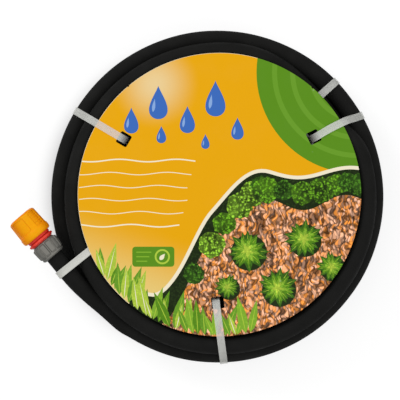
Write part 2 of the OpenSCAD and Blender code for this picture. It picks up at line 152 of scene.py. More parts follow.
def skin(rings: int, sides: int, loop: bool = False) -> list[Face]:
    """Faces between rings of points that are numbered one after the other.

    Args:
        rings: How many rings there are.
        sides: Points in each ring.
        loop: Whether the last ring joins the first one; else both get a cap.

    Returns:
        The faces, facing outwards for rings that turn by the right-hand rule.
    """
    faces: list[Face] = []
    for i in range(rings if loop else rings - 1):
        here, there = i * sides, (i + 1) % rings * sides
        for k in range(sides):
            n = (k + 1) % sides
            faces.append((here + k, here + n, there + n, there + k))
    if not loop:
        faces.append(tuple(reversed(range(sides))))
        faces.append(tuple(range((rings - 1) * sides, rings * sides)))
    return faces


def sweep(path: Points, radius: Callable[[int, float], float], sides: int, up: Vector = UP) -> Points:
    """Rings of points round a path.

    Args:
        path: Middles of the rings.
        radius: Radius for a ring's number and an angle in radians.
        sides: Points in each ring.
        up: Direction that the path never takes, which sets where the rings start.

    Returns:
        The rings' points, one ring after the other.
    """
    points: Points = []
    last = len(path) - 1
    for i, middle in enumerate(path):
        way = (path[min(i + 1, last)] - path[max(i - 1, 0)]).normalized()
        side = way.cross(up).normalized()
        over = side.cross(way)
        for k in range(sides):
            a = math.tau * k / sides
            points.append(middle + radius(i, a) * (math.cos(a) * side - math.sin(a) * over))
    return points


def spline(knots: Points, step: float) -> Points:
    """Smooth line through knots, at even steps along it.

    Args:
        knots: Points that the line passes through.
        step: Distance between the points that are returned, in millimetres.

    Returns:
        Points of the line, with both ends kept.
    """
    fine: Points = []
    ends = [2 * knots[0] - knots[1], *knots, 2 * knots[-1] - knots[-2]]
    for a, b, c, d in zip(ends, ends[1:], ends[2:], ends[3:]):
        parts = max(2, int((c - b).length / step * 4))
        for k in range(parts):
            t = k / parts
            square = (2 * a - 5 * b + 4 * c - d) * t * t
            cube = (3 * b - a - 3 * c + d) * t**3
            fine.append(0.5 * (2 * b + (c - a) * t + square + cube))
    fine.append(knots[-1])
    return even(fine, step)


def even(line: Points, step: float) -> Points:
    """The same line with points at even distances of about one step."""
    total = sum((b - a).length for a, b in zip(line, line[1:]))
    gap = total / max(1, round(total / step))
    out, since = [line[0]], 0.0
    for a, b in zip(line, line[1:]):
        length = (b - a).length
        while length > 0 and since + length >= gap - 1e-9 and len(out) * gap <= total + 1e-6:
            t = (gap - since) / length
            a = a + (b - a) * t
            out.append(a.copy())
            length = (b - a).length
            since = 0.0
        since += length
    out[-1] = line[-1]
    return out


# ---------------------------------------------------------------- shader trees


class Tree:
    """A shader node tree that is being built."""

    def __init__(self, tree: NodeTree) -> None:
        """Keeps the tree."""
        self.tree = tree

    def plug(self, value: object, socket: Socket) -> None:
        """Links an output to an input, or gives the input a value."""
        if isinstance(value, Socket):
            self.tree.links.new(value, socket)
        else:
            socket.default_value = value

    def add(self, kind: str, inputs: dict | None = None, **settings: object) -> bpy.types.Node:
        """Adds a node.

        Args:
            kind: The node's type, without its first words "ShaderNode".
            inputs: Values or output sockets for its inputs, by name or number.
            **settings: The node's own settings.

        Returns:
            The new node.
        """
        node = self.tree.nodes.new("ShaderNode" + kind)
        for key, value in settings.items():
            setattr(node, key, value)
        for key, value in (inputs or {}).items():
            self.plug(value, node.inputs[key])
        return node

    def math(self, operation: str, a: object, b: object = 0.0, c: float = 0.0) -> Socket:
        """Adds a Math node and returns its output."""
        return self.add("Math", {0: a, 1: b, 2: c}, operation=operation).outputs[0]

    def product(self, first: object, *more: object) -> Socket:
        """Multiplies values."""
        for value in more:
            first = self.math("MULTIPLY", first, value)
        return first

    def mix(self, factor: object, a: object, b: object, blend: str = "MIX") -> Socket:
        """Adds a colour Mix node and returns its output."""
        return self.add("Mix", {0: factor, 6: a, 7: b}, data_type="RGBA", blend_type=blend).outputs[2]

    def span(self, value: object, low: float, high: float, start: float = 0.0, end: float = 1.0) -> Socket:
        """Adds a smooth Map Range node, from start at low to end at high, and returns its output."""
        inputs = {0: value, 1: low, 2: high, 3: start, 4: end}
        return self.add("MapRange", inputs, interpolation_type="SMOOTHSTEP").outputs[0]

    def place(self) -> Socket:
        """Place on the piece, in metres in the row frame."""
        return self.add("TexCoord").outputs["Object"]

    def distance(self, spot: Sequence[float]) -> Socket:
        """Distance of the place on the piece from a spot, both in metres."""
        inputs = {0: self.place(), 1: tuple(spot)}
        return self.add("VectorMath", inputs, operation="DISTANCE").outputs["Value"]

    def noise(self, scale: object, detail: float, where: Socket | None = None) -> Socket:
        """Adds a noise and returns its value."""
        inputs = {"Vector": where or self.place(), "Scale": scale, "Detail": detail}
        return self.add("TexNoise", inputs).outputs[0]

    def wander(self, scale: float, detail: float, start: float, end: float) -> Socket:
        """Adds a noise that wanders between two values and returns its output."""
        return self.span(self.noise(scale, detail), 0.3, 0.7, start, end)

    def warped(self, amount: float, scale: float, detail: float) -> Socket:
        """Place on the piece, shifted by a noise, which takes the order out of a pattern."""
        shift = self.add("TexNoise", {"Vector": self.place(), "Scale": scale, "Detail": detail}).outputs[1]
        return self.mix(amount, self.place(), shift, "ADD")

    def cells(self, scale: object, where: Socket | None = None) -> Sequence[Socket]:
        """Adds random cells, and returns the distance from a cell's middle and the cell's own colour."""
        inputs = {"Vector": where or self.place(), "Scale": scale}
        return self.add("TexVoronoi", inputs, feature="F1").outputs[:2]

    def split(self, colour: Socket) -> Sequence[Socket]:
        """Red, green and blue of a colour."""
        return self.add("SeparateColor", {0: colour}).outputs

    def shade(self, colour: object, value: object, saturation: object = 1.0) -> Socket:
        """A colour with its brightness and saturation multiplied."""
        inputs = {"Saturation": saturation, "Value": value, "Color": colour}
        return self.add("HueSaturation", inputs).outputs[0]


class Group(Tree):
    """A node group that several materials share."""

    def __init__(self, name: str, **inputs: object) -> None:
        """Starts the group.

        Args:
            name: The group's name.
            **inputs: Default values by input name: a number or a colour.
        """
        super().__init__(bpy.data.node_groups.new(name, "ShaderNodeTree"))
        for key, value in inputs.items():
            kind = "NodeSocketFloat" if isinstance(value, float) else "NodeSocketColor"
            socket = self.tree.interface.new_socket(name=key, in_out="INPUT", socket_type=kind)
            socket.default_value = value
        self.given = self.tree.nodes.new("NodeGroupInput").outputs

    def close(self, **outputs: Socket) -> NodeTree:
        """Names what the group gives back, and returns its tree."""
        end = self.tree.nodes.new("NodeGroupOutput")
        for key, value in outputs.items():
            kind = "NodeSocketColor" if value.type == "RGBA" else "NodeSocketFloat"
            self.tree.interface.new_socket(name=key, in_out="OUTPUT", socket_type=kind)
            self.tree.links.new(value, end.inputs[key])
        return self.tree


class Effects:
    """The node groups that the finishes share, each built once."""

    def __init__(self) -> None:
        """Builds the groups."""
        self.grain = self._grain()
        self.tint = self._tint()
        self.wear_highlight_and_shade = self._wear_highlight_and_shade()
        self.dust = self._dust()
        self.leaves = self._leaves()
        self.chips = self._chips()

    @staticmethod
    def _grain() -> NodeTree:
        """Fine surface grain: a Height for a bump and a Mask of its hollows."""
        g = Group("surface_grain", Scale=900.0, Pores=0.5)
        away = g.cells(g.given["Scale"])[0]
        deep = g.product(g.span(away, 0.05, 0.45, 1.0, 0.0), g.given["Pores"])
        return g.close(Height=g.math("SUBTRACT", g.noise(g.given["Scale"], 3.0), deep), Mask=deep)

    @staticmethod
    def _tint() -> NodeTree:
        """Slow colour variation over a surface."""
        g = Group("colour_tint", Color=(0.5, 0.5, 0.5, 1.0), Amount=0.1, Scale=60.0)
        patch = g.math("SUBTRACT", g.noise(g.given["Scale"], 4.0), 0.5)
        gain = g.math("MULTIPLY_ADD", patch, g.product(g.given["Amount"], 4.0), 1.0)
        return g.close(Color=g.shade(g.given["Color"], gain))

    @staticmethod
    def _wear_highlight_and_shade() -> NodeTree:
        """Mask of worn edges, which also paints highlight on them, broken up by a noise, and a mask of
        hollows for painted shade.
        """
        g = Group("edge_wear_highlight_and_hollow_shade", Amount=0.5, Scale=250.0)
        sharp = g.add("NewGeometry").outputs["Pointiness"]
        broken = g.span(g.noise(g.given["Scale"], 4.0), 0.35, 0.65)
        mask = g.product(g.span(sharp, 0.515, 0.58), broken, g.given["Amount"])
        # The second mask finds hollows, for painted shade.
        return g.close(Mask=mask, Hollow=g.span(sharp, 0.4, 0.49, 1.0, 0.0))

    @staticmethod
    def _dust() -> NodeTree:
        """Mask of a few pale specks and a thin film of dust on what faces up."""
        g = Group("dust", Specks=0.5, Film=0.1, Scale=120.0)
        away, own = g.cells(g.given["Scale"])
        dot = g.span(away, 0.03, 0.09, 1.0, 0.0)
        specks = g.product(dot, g.span(g.split(own)[0], 0.90, 0.92), g.given["Specks"])
        up = g.add("SeparateXYZ", {0: g.add("NewGeometry").outputs["Normal"]}).outputs[2]
        film = g.product(g.span(up, 0.2, 1.0), g.span(g.noise(35.0, 5.0), 0.45, 0.75), g.given["Film"])
        return g.close(Mask=g.math("MAXIMUM", specks, film))

    @staticmethod
    def _leaves() -> NodeTree:
        """Small printed leaves, lighter and darker than the ink that they are printed in."""
        g = Group("printed_leaves", Color=(0.1, 0.3, 0.05, 1.0), Amount=1.0, Scale=420.0)
        away, own = g.cells(g.given["Scale"], g.warped(0.006, 160.0, 2.0))
        lit = g.product(g.split(own)[1], g.span(away, 0.1, 0.75, 1.0, 0.0), 2.1)
        depth = g.math("ADD", lit, g.wander(60.0, 3.0, 0.1, 0.55))
        return g.close(Color=g.mix(g.given["Amount"], g.given["Color"], g.shade(g.given["Color"], depth)))

    @staticmethod
    def _chips() -> NodeTree:
        """Printed bark chips: slanting flakes in browns."""
        g = Group("printed_chips", Color=(0.3, 0.1, 0.04, 1.0), Amount=1.0, Scale=300.0)
        slant = {"Vector": g.warped(0.012, 90.0, 1.0), "Scale": (1.0, 0.45, 1.0), "Rotation": (0.0, 0.0, 0.6)}
        away, own = g.cells(g.given["Scale"], g.add("Mapping", slant).outputs[0])
        red, green, _ = g.split(own)
        value = g.product(g.span(red, 0.0, 1.0, 0.35, 2.4), g.span(away, 0.35, 0.8, 1.0, 0.25))
        chip = g.shade(g.given["Color"], value, g.span(green, 0.0, 1.0, 0.75, 1.1))
        return g.close(Color=g.mix(g.given["Amount"], g.given["Color"], chip))


class Paint(Tree):
    """A material that is being built, with its Principled shader."""

    def __init__(self, name: str, **shader: object) -> None:
        """Starts the material.

        Args:
            name: The material's name.
            **shader: Values for the Principled shader's inputs, with _ for a blank.
        """
        self.material = bpy.data.materials.new(name)
        self.material.use_nodes = True
        super().__init__(self.material.node_tree)
        self.shader = self.tree.nodes["Principled BSDF"]
        for key, value in shader.items():
            self.feed(key, value)

    def feed(self, key: str, value: object) -> None:
        """Sets or links one input of the Principled shader."""
        self.plug(value, self.shader.inputs[key.replace("_", " ")])

    def use(self, shared: NodeTree, **inputs: object) -> Sequence[Socket]:
        """Places a shared group with its own values, and returns its outputs."""
        return self.add("Group", inputs, node_tree=shared).outputs

    def dusty(self, effects: Effects, colour: Socket, dust_and_glint_tone: str, **amounts: float) -> None:
        """Feeds the base colour, with specks and a film of dust on it; on the rubber the specks are also
        painted glints.
        """
        self.feed("Base Color", self.mix(self.use(effects.dust, **amounts)[0], colour, tone(dust_and_glint_tone)))

    def bump(self, height: object, strength: float, distance: float) -> None:
        """Feeds a height to the shader's normal through a Bump node."""
        node = self.add("Bump", {"Height": height, "Strength": strength, "Distance": distance})
        self.feed("Normal", node.outputs[0])


# ---------------------------------------------------------------- finishes


@dataclass(frozen=True)
class PorousRubber:
    """Matte black rubber crumb, finely porous, with painted shade in its pores and towards its rims, and a
    few pale specks that are dust and painted glints.
    """

    name: str = "porous_rubber"
    colour: str = "#1e1e1d"
    # Dark colour of the painted shade in the pores and towards the rims.
    hollow_shade: str = "#080807"
    # Colour of the pale specks: dust, and painted glints on the rubber.
    dust_and_glint_tone: str = "#74746e"

    def material(self, effects: Effects) -> Material:
        """Builds the material."""
        p = Paint(self.name, Specular_IOR_Level=0.04)
        fine = p.use(effects.grain, Scale=1500.0, Pores=0.8)
        coarse = p.use(effects.grain, Scale=420.0, Pores=0.55)
        tint = p.use(effects.tint, Color=tone(self.colour), Amount=0.12, Scale=55.0)[0]
        # Painted shade: the pores are darkened towards the dark shade colour.
        pore_shaded = p.mix(p.product(fine["Mask"], 0.6), tint, tone(self.hollow_shade))
        # Painted shade: the rubber darkens towards its rims, where the surface turns away from the view.
        turned = p.span(p.add("LayerWeight").outputs["Facing"], 0.45, 0.95, 0.0, 0.75)
        rim_shaded = p.mix(turned, pore_shaded, tone(self.hollow_shade))
        # Pale specks and film: dust, and on the rubber the specks are also painted glints.
        p.dusty(effects, rim_shaded, self.dust_and_glint_tone, Specks=0.4, Film=0.02, Scale=95.0)
        p.feed("Roughness", p.wander(40.0, 3.0, 0.62, 0.78))
        p.bump(p.math("ADD", fine["Height"], p.product(coarse["Height"], 0.8)), 0.5, 0.00018)
        return p.material


@dataclass(frozen=True)
class MouldedPlastic:
    """Injection-moulded plastic with a fine grain, handling marks, paler edges that are wear and painted
    highlight, painted shade in its hollows, and a lighter colour painted where it faces the view.
    """

    name: str
    colour: str
    worn_and_highlit: str
    roughness: float = 0.4
    grain: float = 1300.0
    depth: float = 0.00004
    glow: float = 0.0
    shine: float = 0.3
    # Brightness factor of the painted shade in hollows, such as the nut's grooves.
    hollow_shade: float = 0.6
    # Lighter colour painted where the surface faces the view: painted highlight, with the rims left darker as
    # painted shade.
    face: str = ""
    dust: str = "#b8b5ac"

    def material(self, effects: Effects) -> Material:
        """Builds the material."""
        p = Paint(self.name, Specular_IOR_Level=self.shine, Subsurface_Scale=0.002)
        p.feed("Subsurface Weight", self.glow)
        # Painted light: lighter face colour where the surface faces the view, darker base colour towards its
        # rims.
        turned = p.span(p.add("LayerWeight").outputs["Facing"], 0.02, 0.5, 1.0, 0.0)
        body = p.mix(turned, tone(self.colour), tone(self.face or self.colour))
        tint = p.use(effects.tint, Color=body, Amount=0.035, Scale=45.0)[0]
        wear_highlight_and_shade = p.use(effects.wear_highlight_and_shade, Amount=0.5, Scale=300.0)
        # Painted shade: hollows such as grooves are darkened.
        shaded = p.mix(wear_highlight_and_shade["Hollow"], tint, p.shade(tint, self.hollow_shade))
        # Paler edges: wear, and painted highlight on sharp edges.
        edge_highlit = p.mix(wear_highlight_and_shade["Mask"], shaded, tone(self.worn_and_highlit))
        p.dusty(effects, edge_highlit, self.dust, Specks=0.12, Film=0.012, Scale=160.0)
        smears = p.span(p.noise(28.0, 5.0), 0.35, 0.7, self.roughness - 0.06, self.roughness + 0.1)
        p.feed("Roughness", smears)
        p.bump(p.use(effects.grain, Scale=self.grain, Pores=0.25)["Height"], 0.35, self.depth)
        return p.material


@dataclass(frozen=True)
class ClearNylon:
    """Clear-white nylon that shows a little of what is under it, with painted shade where it dips into a
    slot.
    """

    name: str = "clear_nylon"
    colour: str = "#f4f5ef"
    thin: float = 0.38
    thick: float = 0.46
    worn_and_highlit: str = "#f6f7f3"
    # Colour of the painted shade where the strap dips into a slot.
    shade: str = "#5f5a55"
    slot_shade_at: tuple[float, float, float] = (22.4, 22.0, 76.0)

    def material(self, effects: Effects) -> Material:
        """Builds the material."""
        p = Paint(self.name, Specular_IOR_Level=0.25)
        tint = p.use(effects.tint, Color=tone(self.colour), Amount=0.03, Scale=70.0)[0]
        # Paler edges: wear, and painted highlight along the strap's raised rims.
        pale = p.mix(p.use(effects.wear_highlight_and_shade, Amount=0.8, Scale=120.0)["Mask"], tint, tone(self.worn_and_highlit))
        # Painted shade: the strap darkens near this spot, where it dips into the slots.
        slot_shade = p.span(p.distance([c * MM for c in self.slot_shade_at]), 0.097, 0.108, 0.85, 0.0)
        p.feed("Base Color", p.mix(slot_shade, pale, tone(self.shade)))
        p.feed("Alpha", p.wander(40.0, 1.0, self.thin, self.thick))
        p.feed("Roughness", p.wander(90.0, 4.0, 0.36, 0.5))
        p.bump(p.use(effects.grain, Scale=700.0, Pores=0.1)["Height"], 0.25, 0.00006)
        return p.material


@dataclass(frozen=True)
class DrawnSteel:
    """Bright steel with fine lines along it."""

    name: str
    colour: str = "#b9bdc0"
    lines: float = 1800.0
    dust: str = "#77736b"

    def material(self, effects: Effects) -> Material:
        """Builds the material."""
        p = Paint(self.name, Metallic=1.0, Roughness=0.3)
        tint = p.use(effects.tint, Color=tone(self.colour), Amount=0.06, Scale=80.0)[0]
        p.dusty(effects, tint, self.dust, Specks=0.1, Film=0.05, Scale=140.0)
        lengthways = p.add("Mapping", {"Vector": p.place(), "Scale": (1.0, 1.0, 0.08)}).outputs[0]
        line = p.noise(self.lines, 3.0, lengthways)
        p.feed("Roughness", p.span(line, 0.3, 0.7, 0.22, 0.42))
        p.bump(line, 0.2, 0.00003)
        return p.material


@dataclass(frozen=True)
class PrintedCard:
    """Printed card: the inks are painted on its faces, and leaves, chips and fades are added."""

    name: str = "printed_card"
    glow: str = "#f8e7b8"
    sand: str = "#f4de90"
    dust: str = "#efece4"
    glow_at: tuple[float, float, float] = (-42.0, 112.0, 78.0)

    def material(self, effects: Effects) -> Material:
        """Builds the material."""
        p = Paint(self.name, Specular_IOR_Level=0.12, Coat_Roughness=0.25, Coat_IOR=1.3)
        ink, fill = (p.add("Attribute", attribute_name=name).outputs["Color"] for name in ("ink", "fill"))
        leafy, barky, fades = p.split(fill)
        green = p.use(effects.leaves, Color=ink, Amount=leafy, Scale=430.0)[0]
        brown = p.use(effects.chips, Color=green, Amount=barky, Scale=450.0)[0]
        shine = p.span(p.distance([c * MM for c in self.glow_at]), 0.0, 0.046, 0.7, 0.0)
        lit = p.mix(p.product(shine, fades), brown, tone(self.glow))
        x, y, _ = p.add("SeparateXYZ", {0: p.place()}).outputs
        slope = p.math("ADD", p.product(x, 0.35), y)
        faded = p.mix(p.product(p.span(slope, -0.13, -0.045, 0.85, 0.0), fades), lit, tone(self.sand))
        tint = p.use(effects.tint, Color=faded, Amount=0.012, Scale=500.0)[0]
        p.dusty(effects, tint, self.dust, Specks=0.15, Film=0.004, Scale=60.0)
        p.feed("Roughness", p.wander(70.0, 4.0, 0.34, 0.46))
        p.feed("Coat Weight", p.wander(18.0, 2.0, 0.05, 0.12))
        p.bump(p.use(effects.grain, Scale=1100.0, Pores=0.2)["Height"], 0.2, 0.00003)
        return p.material


class Finish(Enum):
    """The finishes of the part, by the material slot that each belongs to."""

    HOSE = "hose"
    COLLAR = "collar"
    CONNECTOR = "connector"
    NUT = "nut"
    SPRING = "spring"
    CLAWS = "claws"
    RESTRICTOR = "restrictor"
    GRIP_RING = "grip_ring"
    PLUG = "plug"
    CLIP = "clip"
    CARD = "card"
    TIES = "ties"
    WHITE_TIE = "white_tie"

    @property
    def slot(self) -> str:
        """Name of the material slot that the finish belongs to."""
        return Finish.TIES.value if self is Finish.WHITE_TIE else self.value


# The face colours below are painted highlights, where a surface faces the view.
FINISHES = {
    Finish.HOSE: PorousRubber(),
    Finish.COLLAR: MouldedPlastic(
        "yellow_plastic", "#f89000", "#ffb32c", 0.45, glow=0.06, shine=0.07, face="#ffab0a"
    ),
    Finish.CONNECTOR: MouldedPlastic(
        "red_plastic", "#e02a20", "#f87a62", glow=0.05, shine=0.2, hollow_shade=0.45, face="#f5463a"
    ),
    Finish.NUT: MouldedPlastic(
        "grey_plastic", "#64635e", "#b8b6ae", 0.48, 900.0, 0.00006, hollow_shade=0.2, face="#84827b"
    ),
    Finish.SPRING: DrawnSteel("spring_wire"),
    Finish.CLAWS: MouldedPlastic("white_acetal", "#d6d8d8", "#f2f2f0", 0.3),
    Finish.RESTRICTOR: MouldedPlastic("pale_moulded_plastic", "#e2ddd0", "#f4f1e8", 0.55),
    Finish.GRIP_RING: MouldedPlastic("grey_moulded_plastic", "#8a8a82", "#aaaaa2", 0.55),
    Finish.PLUG: MouldedPlastic("dark_rubber", "#2b2b2a", "#4a4a47", 0.6, 700.0, 0.00006),
    Finish.CLIP: DrawnSteel("steel_strip", "#a4a8aa", 1200.0),
    Finish.CARD: PrintedCard(),
    Finish.TIES: ClearNylon(),
    Finish.WHITE_TIE: ClearNylon("white_nylon", "#e6e6df", 0.72, 0.8),
}


class Dresser:
    """Gives pieces their finish, their material slot and the body that they ride on."""

    def __init__(self) -> None:
        """Builds every material once."""
        effects = Effects()
        self.materials = {finish: made.material(effects) for finish, made in FINISHES.items()}

    def dress(self, obj: Object, finish: Finish, body: str, *nodes: str) -> Object:
        """Dresses a new piece.

        Args:
            obj: The piece.
            finish: Its finish.
            body: The body that it rides on.
            *nodes: The solids that it stands for.

        Returns:
            The piece.
        """
        obj.data.materials.clear()
        obj.data.materials.append(self.materials[finish])
        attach(obj, body)
        if nodes:
            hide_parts(*nodes)
        log.info("%s: %d faces, finish %s", obj.name, len(obj.data.polygons), finish.value)
        return obj

    def carry_over(self, node: str, finish: Finish) -> None:
        """Gives a solid that stays as it is a better material."""
        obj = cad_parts[node]
        if not obj.material_slots:
            obj.data.materials.append(None)
        for place in obj.material_slots:
            place.material = self.materials[finish]
        log.info("%s: carried over, finish %s", node, finish.value)


# ---------------------------------------------------------------- the pile of loops


@dataclass(frozen=True)
class Pile:
    """How the hose lies in the roll. Lengths in millimetres, angles in degrees."""

    roll_x: float = 20.387
    hose_r: float = 9.0
    layers: int = 4
    columns: int = 3
    pitch: float = 18.7
    outer_r: float = 157.5
    front_r: float = 147.0
    front_shift: float = 3.5
    front_azimuth: float = 330.0
    first_z: float = 10.5
    start: float = 240.0
    turns: int = 10
    second_step: float = 530.0
    step_turn: float = 334.0
    step_span: float = 60.0
    late_lead: float = 15.0
    front: int = 7
    front_up: tuple[float, float] = (2195.0, 40.0)
    front_out: tuple[float, float] = (2205.0, 35.0)
    front_leave: tuple[float, float] = (2535.0, 35.0)
    tuck_span: float = 38.0
    tuck_r: float = 8.5

    @property
    def end(self) -> float:
        """Azimuth of the wound part's far end, counted on round the turns."""
        return self.start + 360.0 * self.turns

    @property
    def top_z(self) -> float:
        """Height of the top layer's middle."""
        return self.first_z + (self.layers - 1) * self.pitch

    def column(self, n: int) -> int:
        """Column of a place in the pile."""
        return n // self.layers

    def layer(self, n: int) -> int:
        """Layer of a place in the pile, from 1 at the bottom."""
        inside = n % self.layers
        return self.layers - inside if self.column(n) % 2 == 0 else 1 + inside

    def radius(self, n: int, azimuth: float) -> float:
        """Radius of a place in the pile."""
        if n == self.front:
            return self.front_r + self.front_shift * math.cos(math.radians(azimuth - self.front_azimuth))
        return self.outer_r - self.column(n) * self.pitch

    def height(self, n: int) -> float:
        """Height of a place in the pile."""
        return self.first_z + (self.layer(n) - 1) * self.pitch

    def step(self, n: int) -> tuple[float, float]:
        """Azimuth where the hose steps up or down to a place, and the turn that it takes."""
        if n == self.front:
            return self.front_up
        if n == self.front + 1:
            return self.front_leave
        lead = self.late_lead if n > self.front else 0.0
        return self.second_step + (n - 2) * self.step_turn - lead, self.step_span

    def point(self, azimuth: float) -> Vector:
        """Middle of the hose in the roll's frame.

        Args:
            azimuth: Azimuth, counted on round the turns.

        Returns:
            The point, in millimetres about the roll's axis.
        """
        r = self.radius(1, azimuth)
        r -= self.tuck_r * ease((azimuth - self.end + self.tuck_span) / self.tuck_span)
        z = self.height(1)
        for n in range(2, self.layers * self.columns):
            begin, turn = self.step(n)
            z += (self.height(n) - self.height(n - 1)) * ease((azimuth - begin) / turn)
            begin, turn = self.front_out if n == self.front else (begin, turn)
            r += (self.radius(n, azimuth) - self.radius(n - 1, azimuth)) * ease((azimuth - begin) / turn)
        x, y = polar(r, azimuth)
        return Vector((x, y, z))

    def world(self, p: Vector) -> Vector:
        """Moves a point from the roll's frame to the row frame."""
        return p + Vector((self.roll_x, 0, 0))


PILE = Pile()


@dataclass(frozen=True)
class Stations:
    """The connector's stations along its axis, from the mouth, and its radii."""

    azimuth: float = 310.45
    mouth: tuple[float, float, float] = (-196.931, -19.3372, 66.6)
    length: float = 52.0
    seat: float = 35.7
    neck: float = 26.0
    ledge_back: float = 17.4

    @property
    def axis(self) -> Vector:
        """Direction from the mouth to the hose."""
        x, y = polar(1.0, self.azimuth)
        return Vector((x, y, 0))

    def at(self, s: float) -> Vector:
        """Point of the axis at a station, in the row frame."""
        return PILE.world(Vector(self.mouth) + s * self.axis)

    def wrap(self, s: float, r: float, angle: float) -> Vector:
        """Point round the axis.

        Args:
            s: Station along the axis.
            r: Distance from the axis.
            angle: Angle in degrees: 180 faces up, and 90 faces the roll.

        Returns:
            The point in the row frame.
        """
        down, out = polar(r, angle)
        side = Vector((-self.axis.y, self.axis.x, 0))
        return self.at(s) + down * Vector((0, 0, -1)) + out * side


STATIONS = Stations()


# ---------------------------------------------------------------- hose


@dataclass
class HoseRun:
    """The whole hose, from the connector's stem to its plugged end, as one tube."""

    radius: float = 9.06
    end_radius: float = 8.97
    bore_r: float = 6.25
    bore_depth: float = 16.0
    step: float = 4.0
    sides: int = 32
    stop_len: float = 20.0
    straight: tuple[float, ...] = (42.0, 48.0, 54.0)
    loop_step: float = 1.5
    end_ease: float = 24.0
    waves: int = 6
    seed: int = 11
    length: float = 8.86
    diameter: float = 0.018
    descent: tuple[tuple[float, float, float], ...] = (
        (202.36, 13.35, 0.0),
        (205.44, 10.8, 0.03),
        (208.34, 8.95, 0.11),
        (210.93, 7.45, 0.235),
        (213.64, 5.85, 0.4),
        (216.4, 4.25, 0.575),
        (219.3, 2.75, 0.725),
        (222.32, 1.4, 0.845),
        (225.38, 0.55, 0.925),
    )

    def route(self) -> Points:
        """Points that the hose follows, in millimetres in the row frame."""
        tail: Points = []
        for azimuth, out, down in self.descent:
            x, y = polar(PILE.outer_r + out, azimuth)
            tail.append(PILE.world(Vector((x, y, PILE.top_z - down * PILE.pitch))))
        straight = [STATIONS.at(s) for s in (STATIONS.seat, *self.straight)]
        begin, finish = PILE.start, PILE.end
        lead, leave = self.way(begin), self.way(finish)
        entry = PILE.world(PILE.point(begin))
        landing = [entry - 2 * PILE.hose_r * lead, entry - PILE.hose_r * lead]
        count = int((finish - begin) / self.loop_step) + 1
        loops = [PILE.world(PILE.point(begin + self.loop_step * k)) for k in range(count)]
        stop = [loops[-1] + PILE.hose_r * 2 * t * leave for t in (0.5, 1.0)]
        last = stop[-1] + self.stop_len * leave
        start = spline([*straight, *tail, *landing, loops[0]], self.step)
        return even([*start[:-1], *loops, *stop, last], self.step)

    @staticmethod
    def way(azimuth: float) -> Vector:
        """Level direction of the hose at an azimuth."""
        d = PILE.point(azimuth + 0.5) - PILE.point(azimuth - 0.5)
        return Vector((d.x, d.y, 0)).normalized()

    def build(self) -> tuple[Object, Points]:
        """Builds the tube, with its bore open at both ends.

        Returns:
            The tube and the points that it follows.
        """
        route = self.route()
        inside = max(2, round(self.bore_depth / self.step))
        path = [*reversed(route[: inside + 1]), *route, *reversed(route[-inside - 1 :])]
        draw = random.Random(self.seed).uniform
        waves = [(draw(0.012, 0.05), draw(0, math.tau), draw(0.02, 0.05)) for _ in range(self.waves)]
        first, last = inside + 1, len(path) - inside - 1
        ends = self.end_ease / self.step

        def size(i: int, angle: float) -> float:
            """Radius of the tube's wall, or of its bore near the ends."""
            if i < first or i >= last:
                return self.bore_r
            full = ease((i - first) / ends - 0.2) * ease((last - 1 - i) / ends - 0.2)
            wave = sum(w * math.sin(i * self.step * f * 3.0 + p + angle) for f, p, w in waves)
            return self.end_radius + (self.radius - self.end_radius + wave * 0.5) * full

        points = self.rings(path, first, last, size)
        return piece("hose", points, skin(len(path), self.sides), crease=60.0), route

    def rings(self, path: Points, first: int, last: int, size: Callable[[int, float], float]) -> Points:
        """Rings of the tube, whose bore's rings run against its wall's.

        Args:
            path: Middles of all the rings.
            first: Number of the wall's first ring.
            last: Number after the wall's last ring.
            size: Radius for a ring and an angle.

        Returns:
            The rings' points.
        """
        n = self.sides

        def bore(part: Points, ring: int) -> Points:
            """Rings of one end's bore, swept backwards and put in the path's order."""
            rows = sweep(part[::-1], lambda i, a: size(ring, a), n)
            return [p for k in range(len(rows) - n, -1, -n) for p in rows[k : k + n]]

        wall = sweep(path[first:last], lambda i, a: size(i + first, a), n)
        return [*bore(path[:first], 0), *wall, *bore(path[last:], len(path) - 1)]


# ---------------------------------------------------------------- connector


CREASE = 32.0


class Turned:
    """A hollow round piece on the connector's axis."""

    def __init__(
        self, name: str, outline: Outline, shape: Callable[[float, float, float], float], segments: int
    ) -> None:
        """Builds the mesh.

        Args:
            name: The piece's name.
            outline: Closed outline of its wall, as (station, radius).
            shape: Changes a radius, given the station, the radius and the angle in degrees.
            segments: Steps round the axis.
        """
        points: Points = []
        for k in range(segments):
            angle = 360.0 * k / segments
            points += [STATIONS.wrap(s, shape(s, r, angle), angle) for s, r in outline]
        self.obj = piece(name, points, skin(segments, len(outline), True), CREASE)

    @staticmethod
    def fine(outline: Outline, step: float) -> Outline:
        """Adds points to an outline so that none of its sides is longer than a step."""
        out: Outline = []
        for (a, r), (b, q) in zip(outline, outline[1:] + outline[:1]):
            parts = max(1, math.ceil(math.hypot(b - a, q - r) / step))
            out += [(a + (b - a) * k / parts, r + (q - r) * k / parts) for k in range(parts)]
        return out


def around(angle: float, middle: float) -> float:
    """Signed angle from a middle, from -180 to 180 degrees."""
    return (angle - middle + 180.0) % 360.0 - 180.0


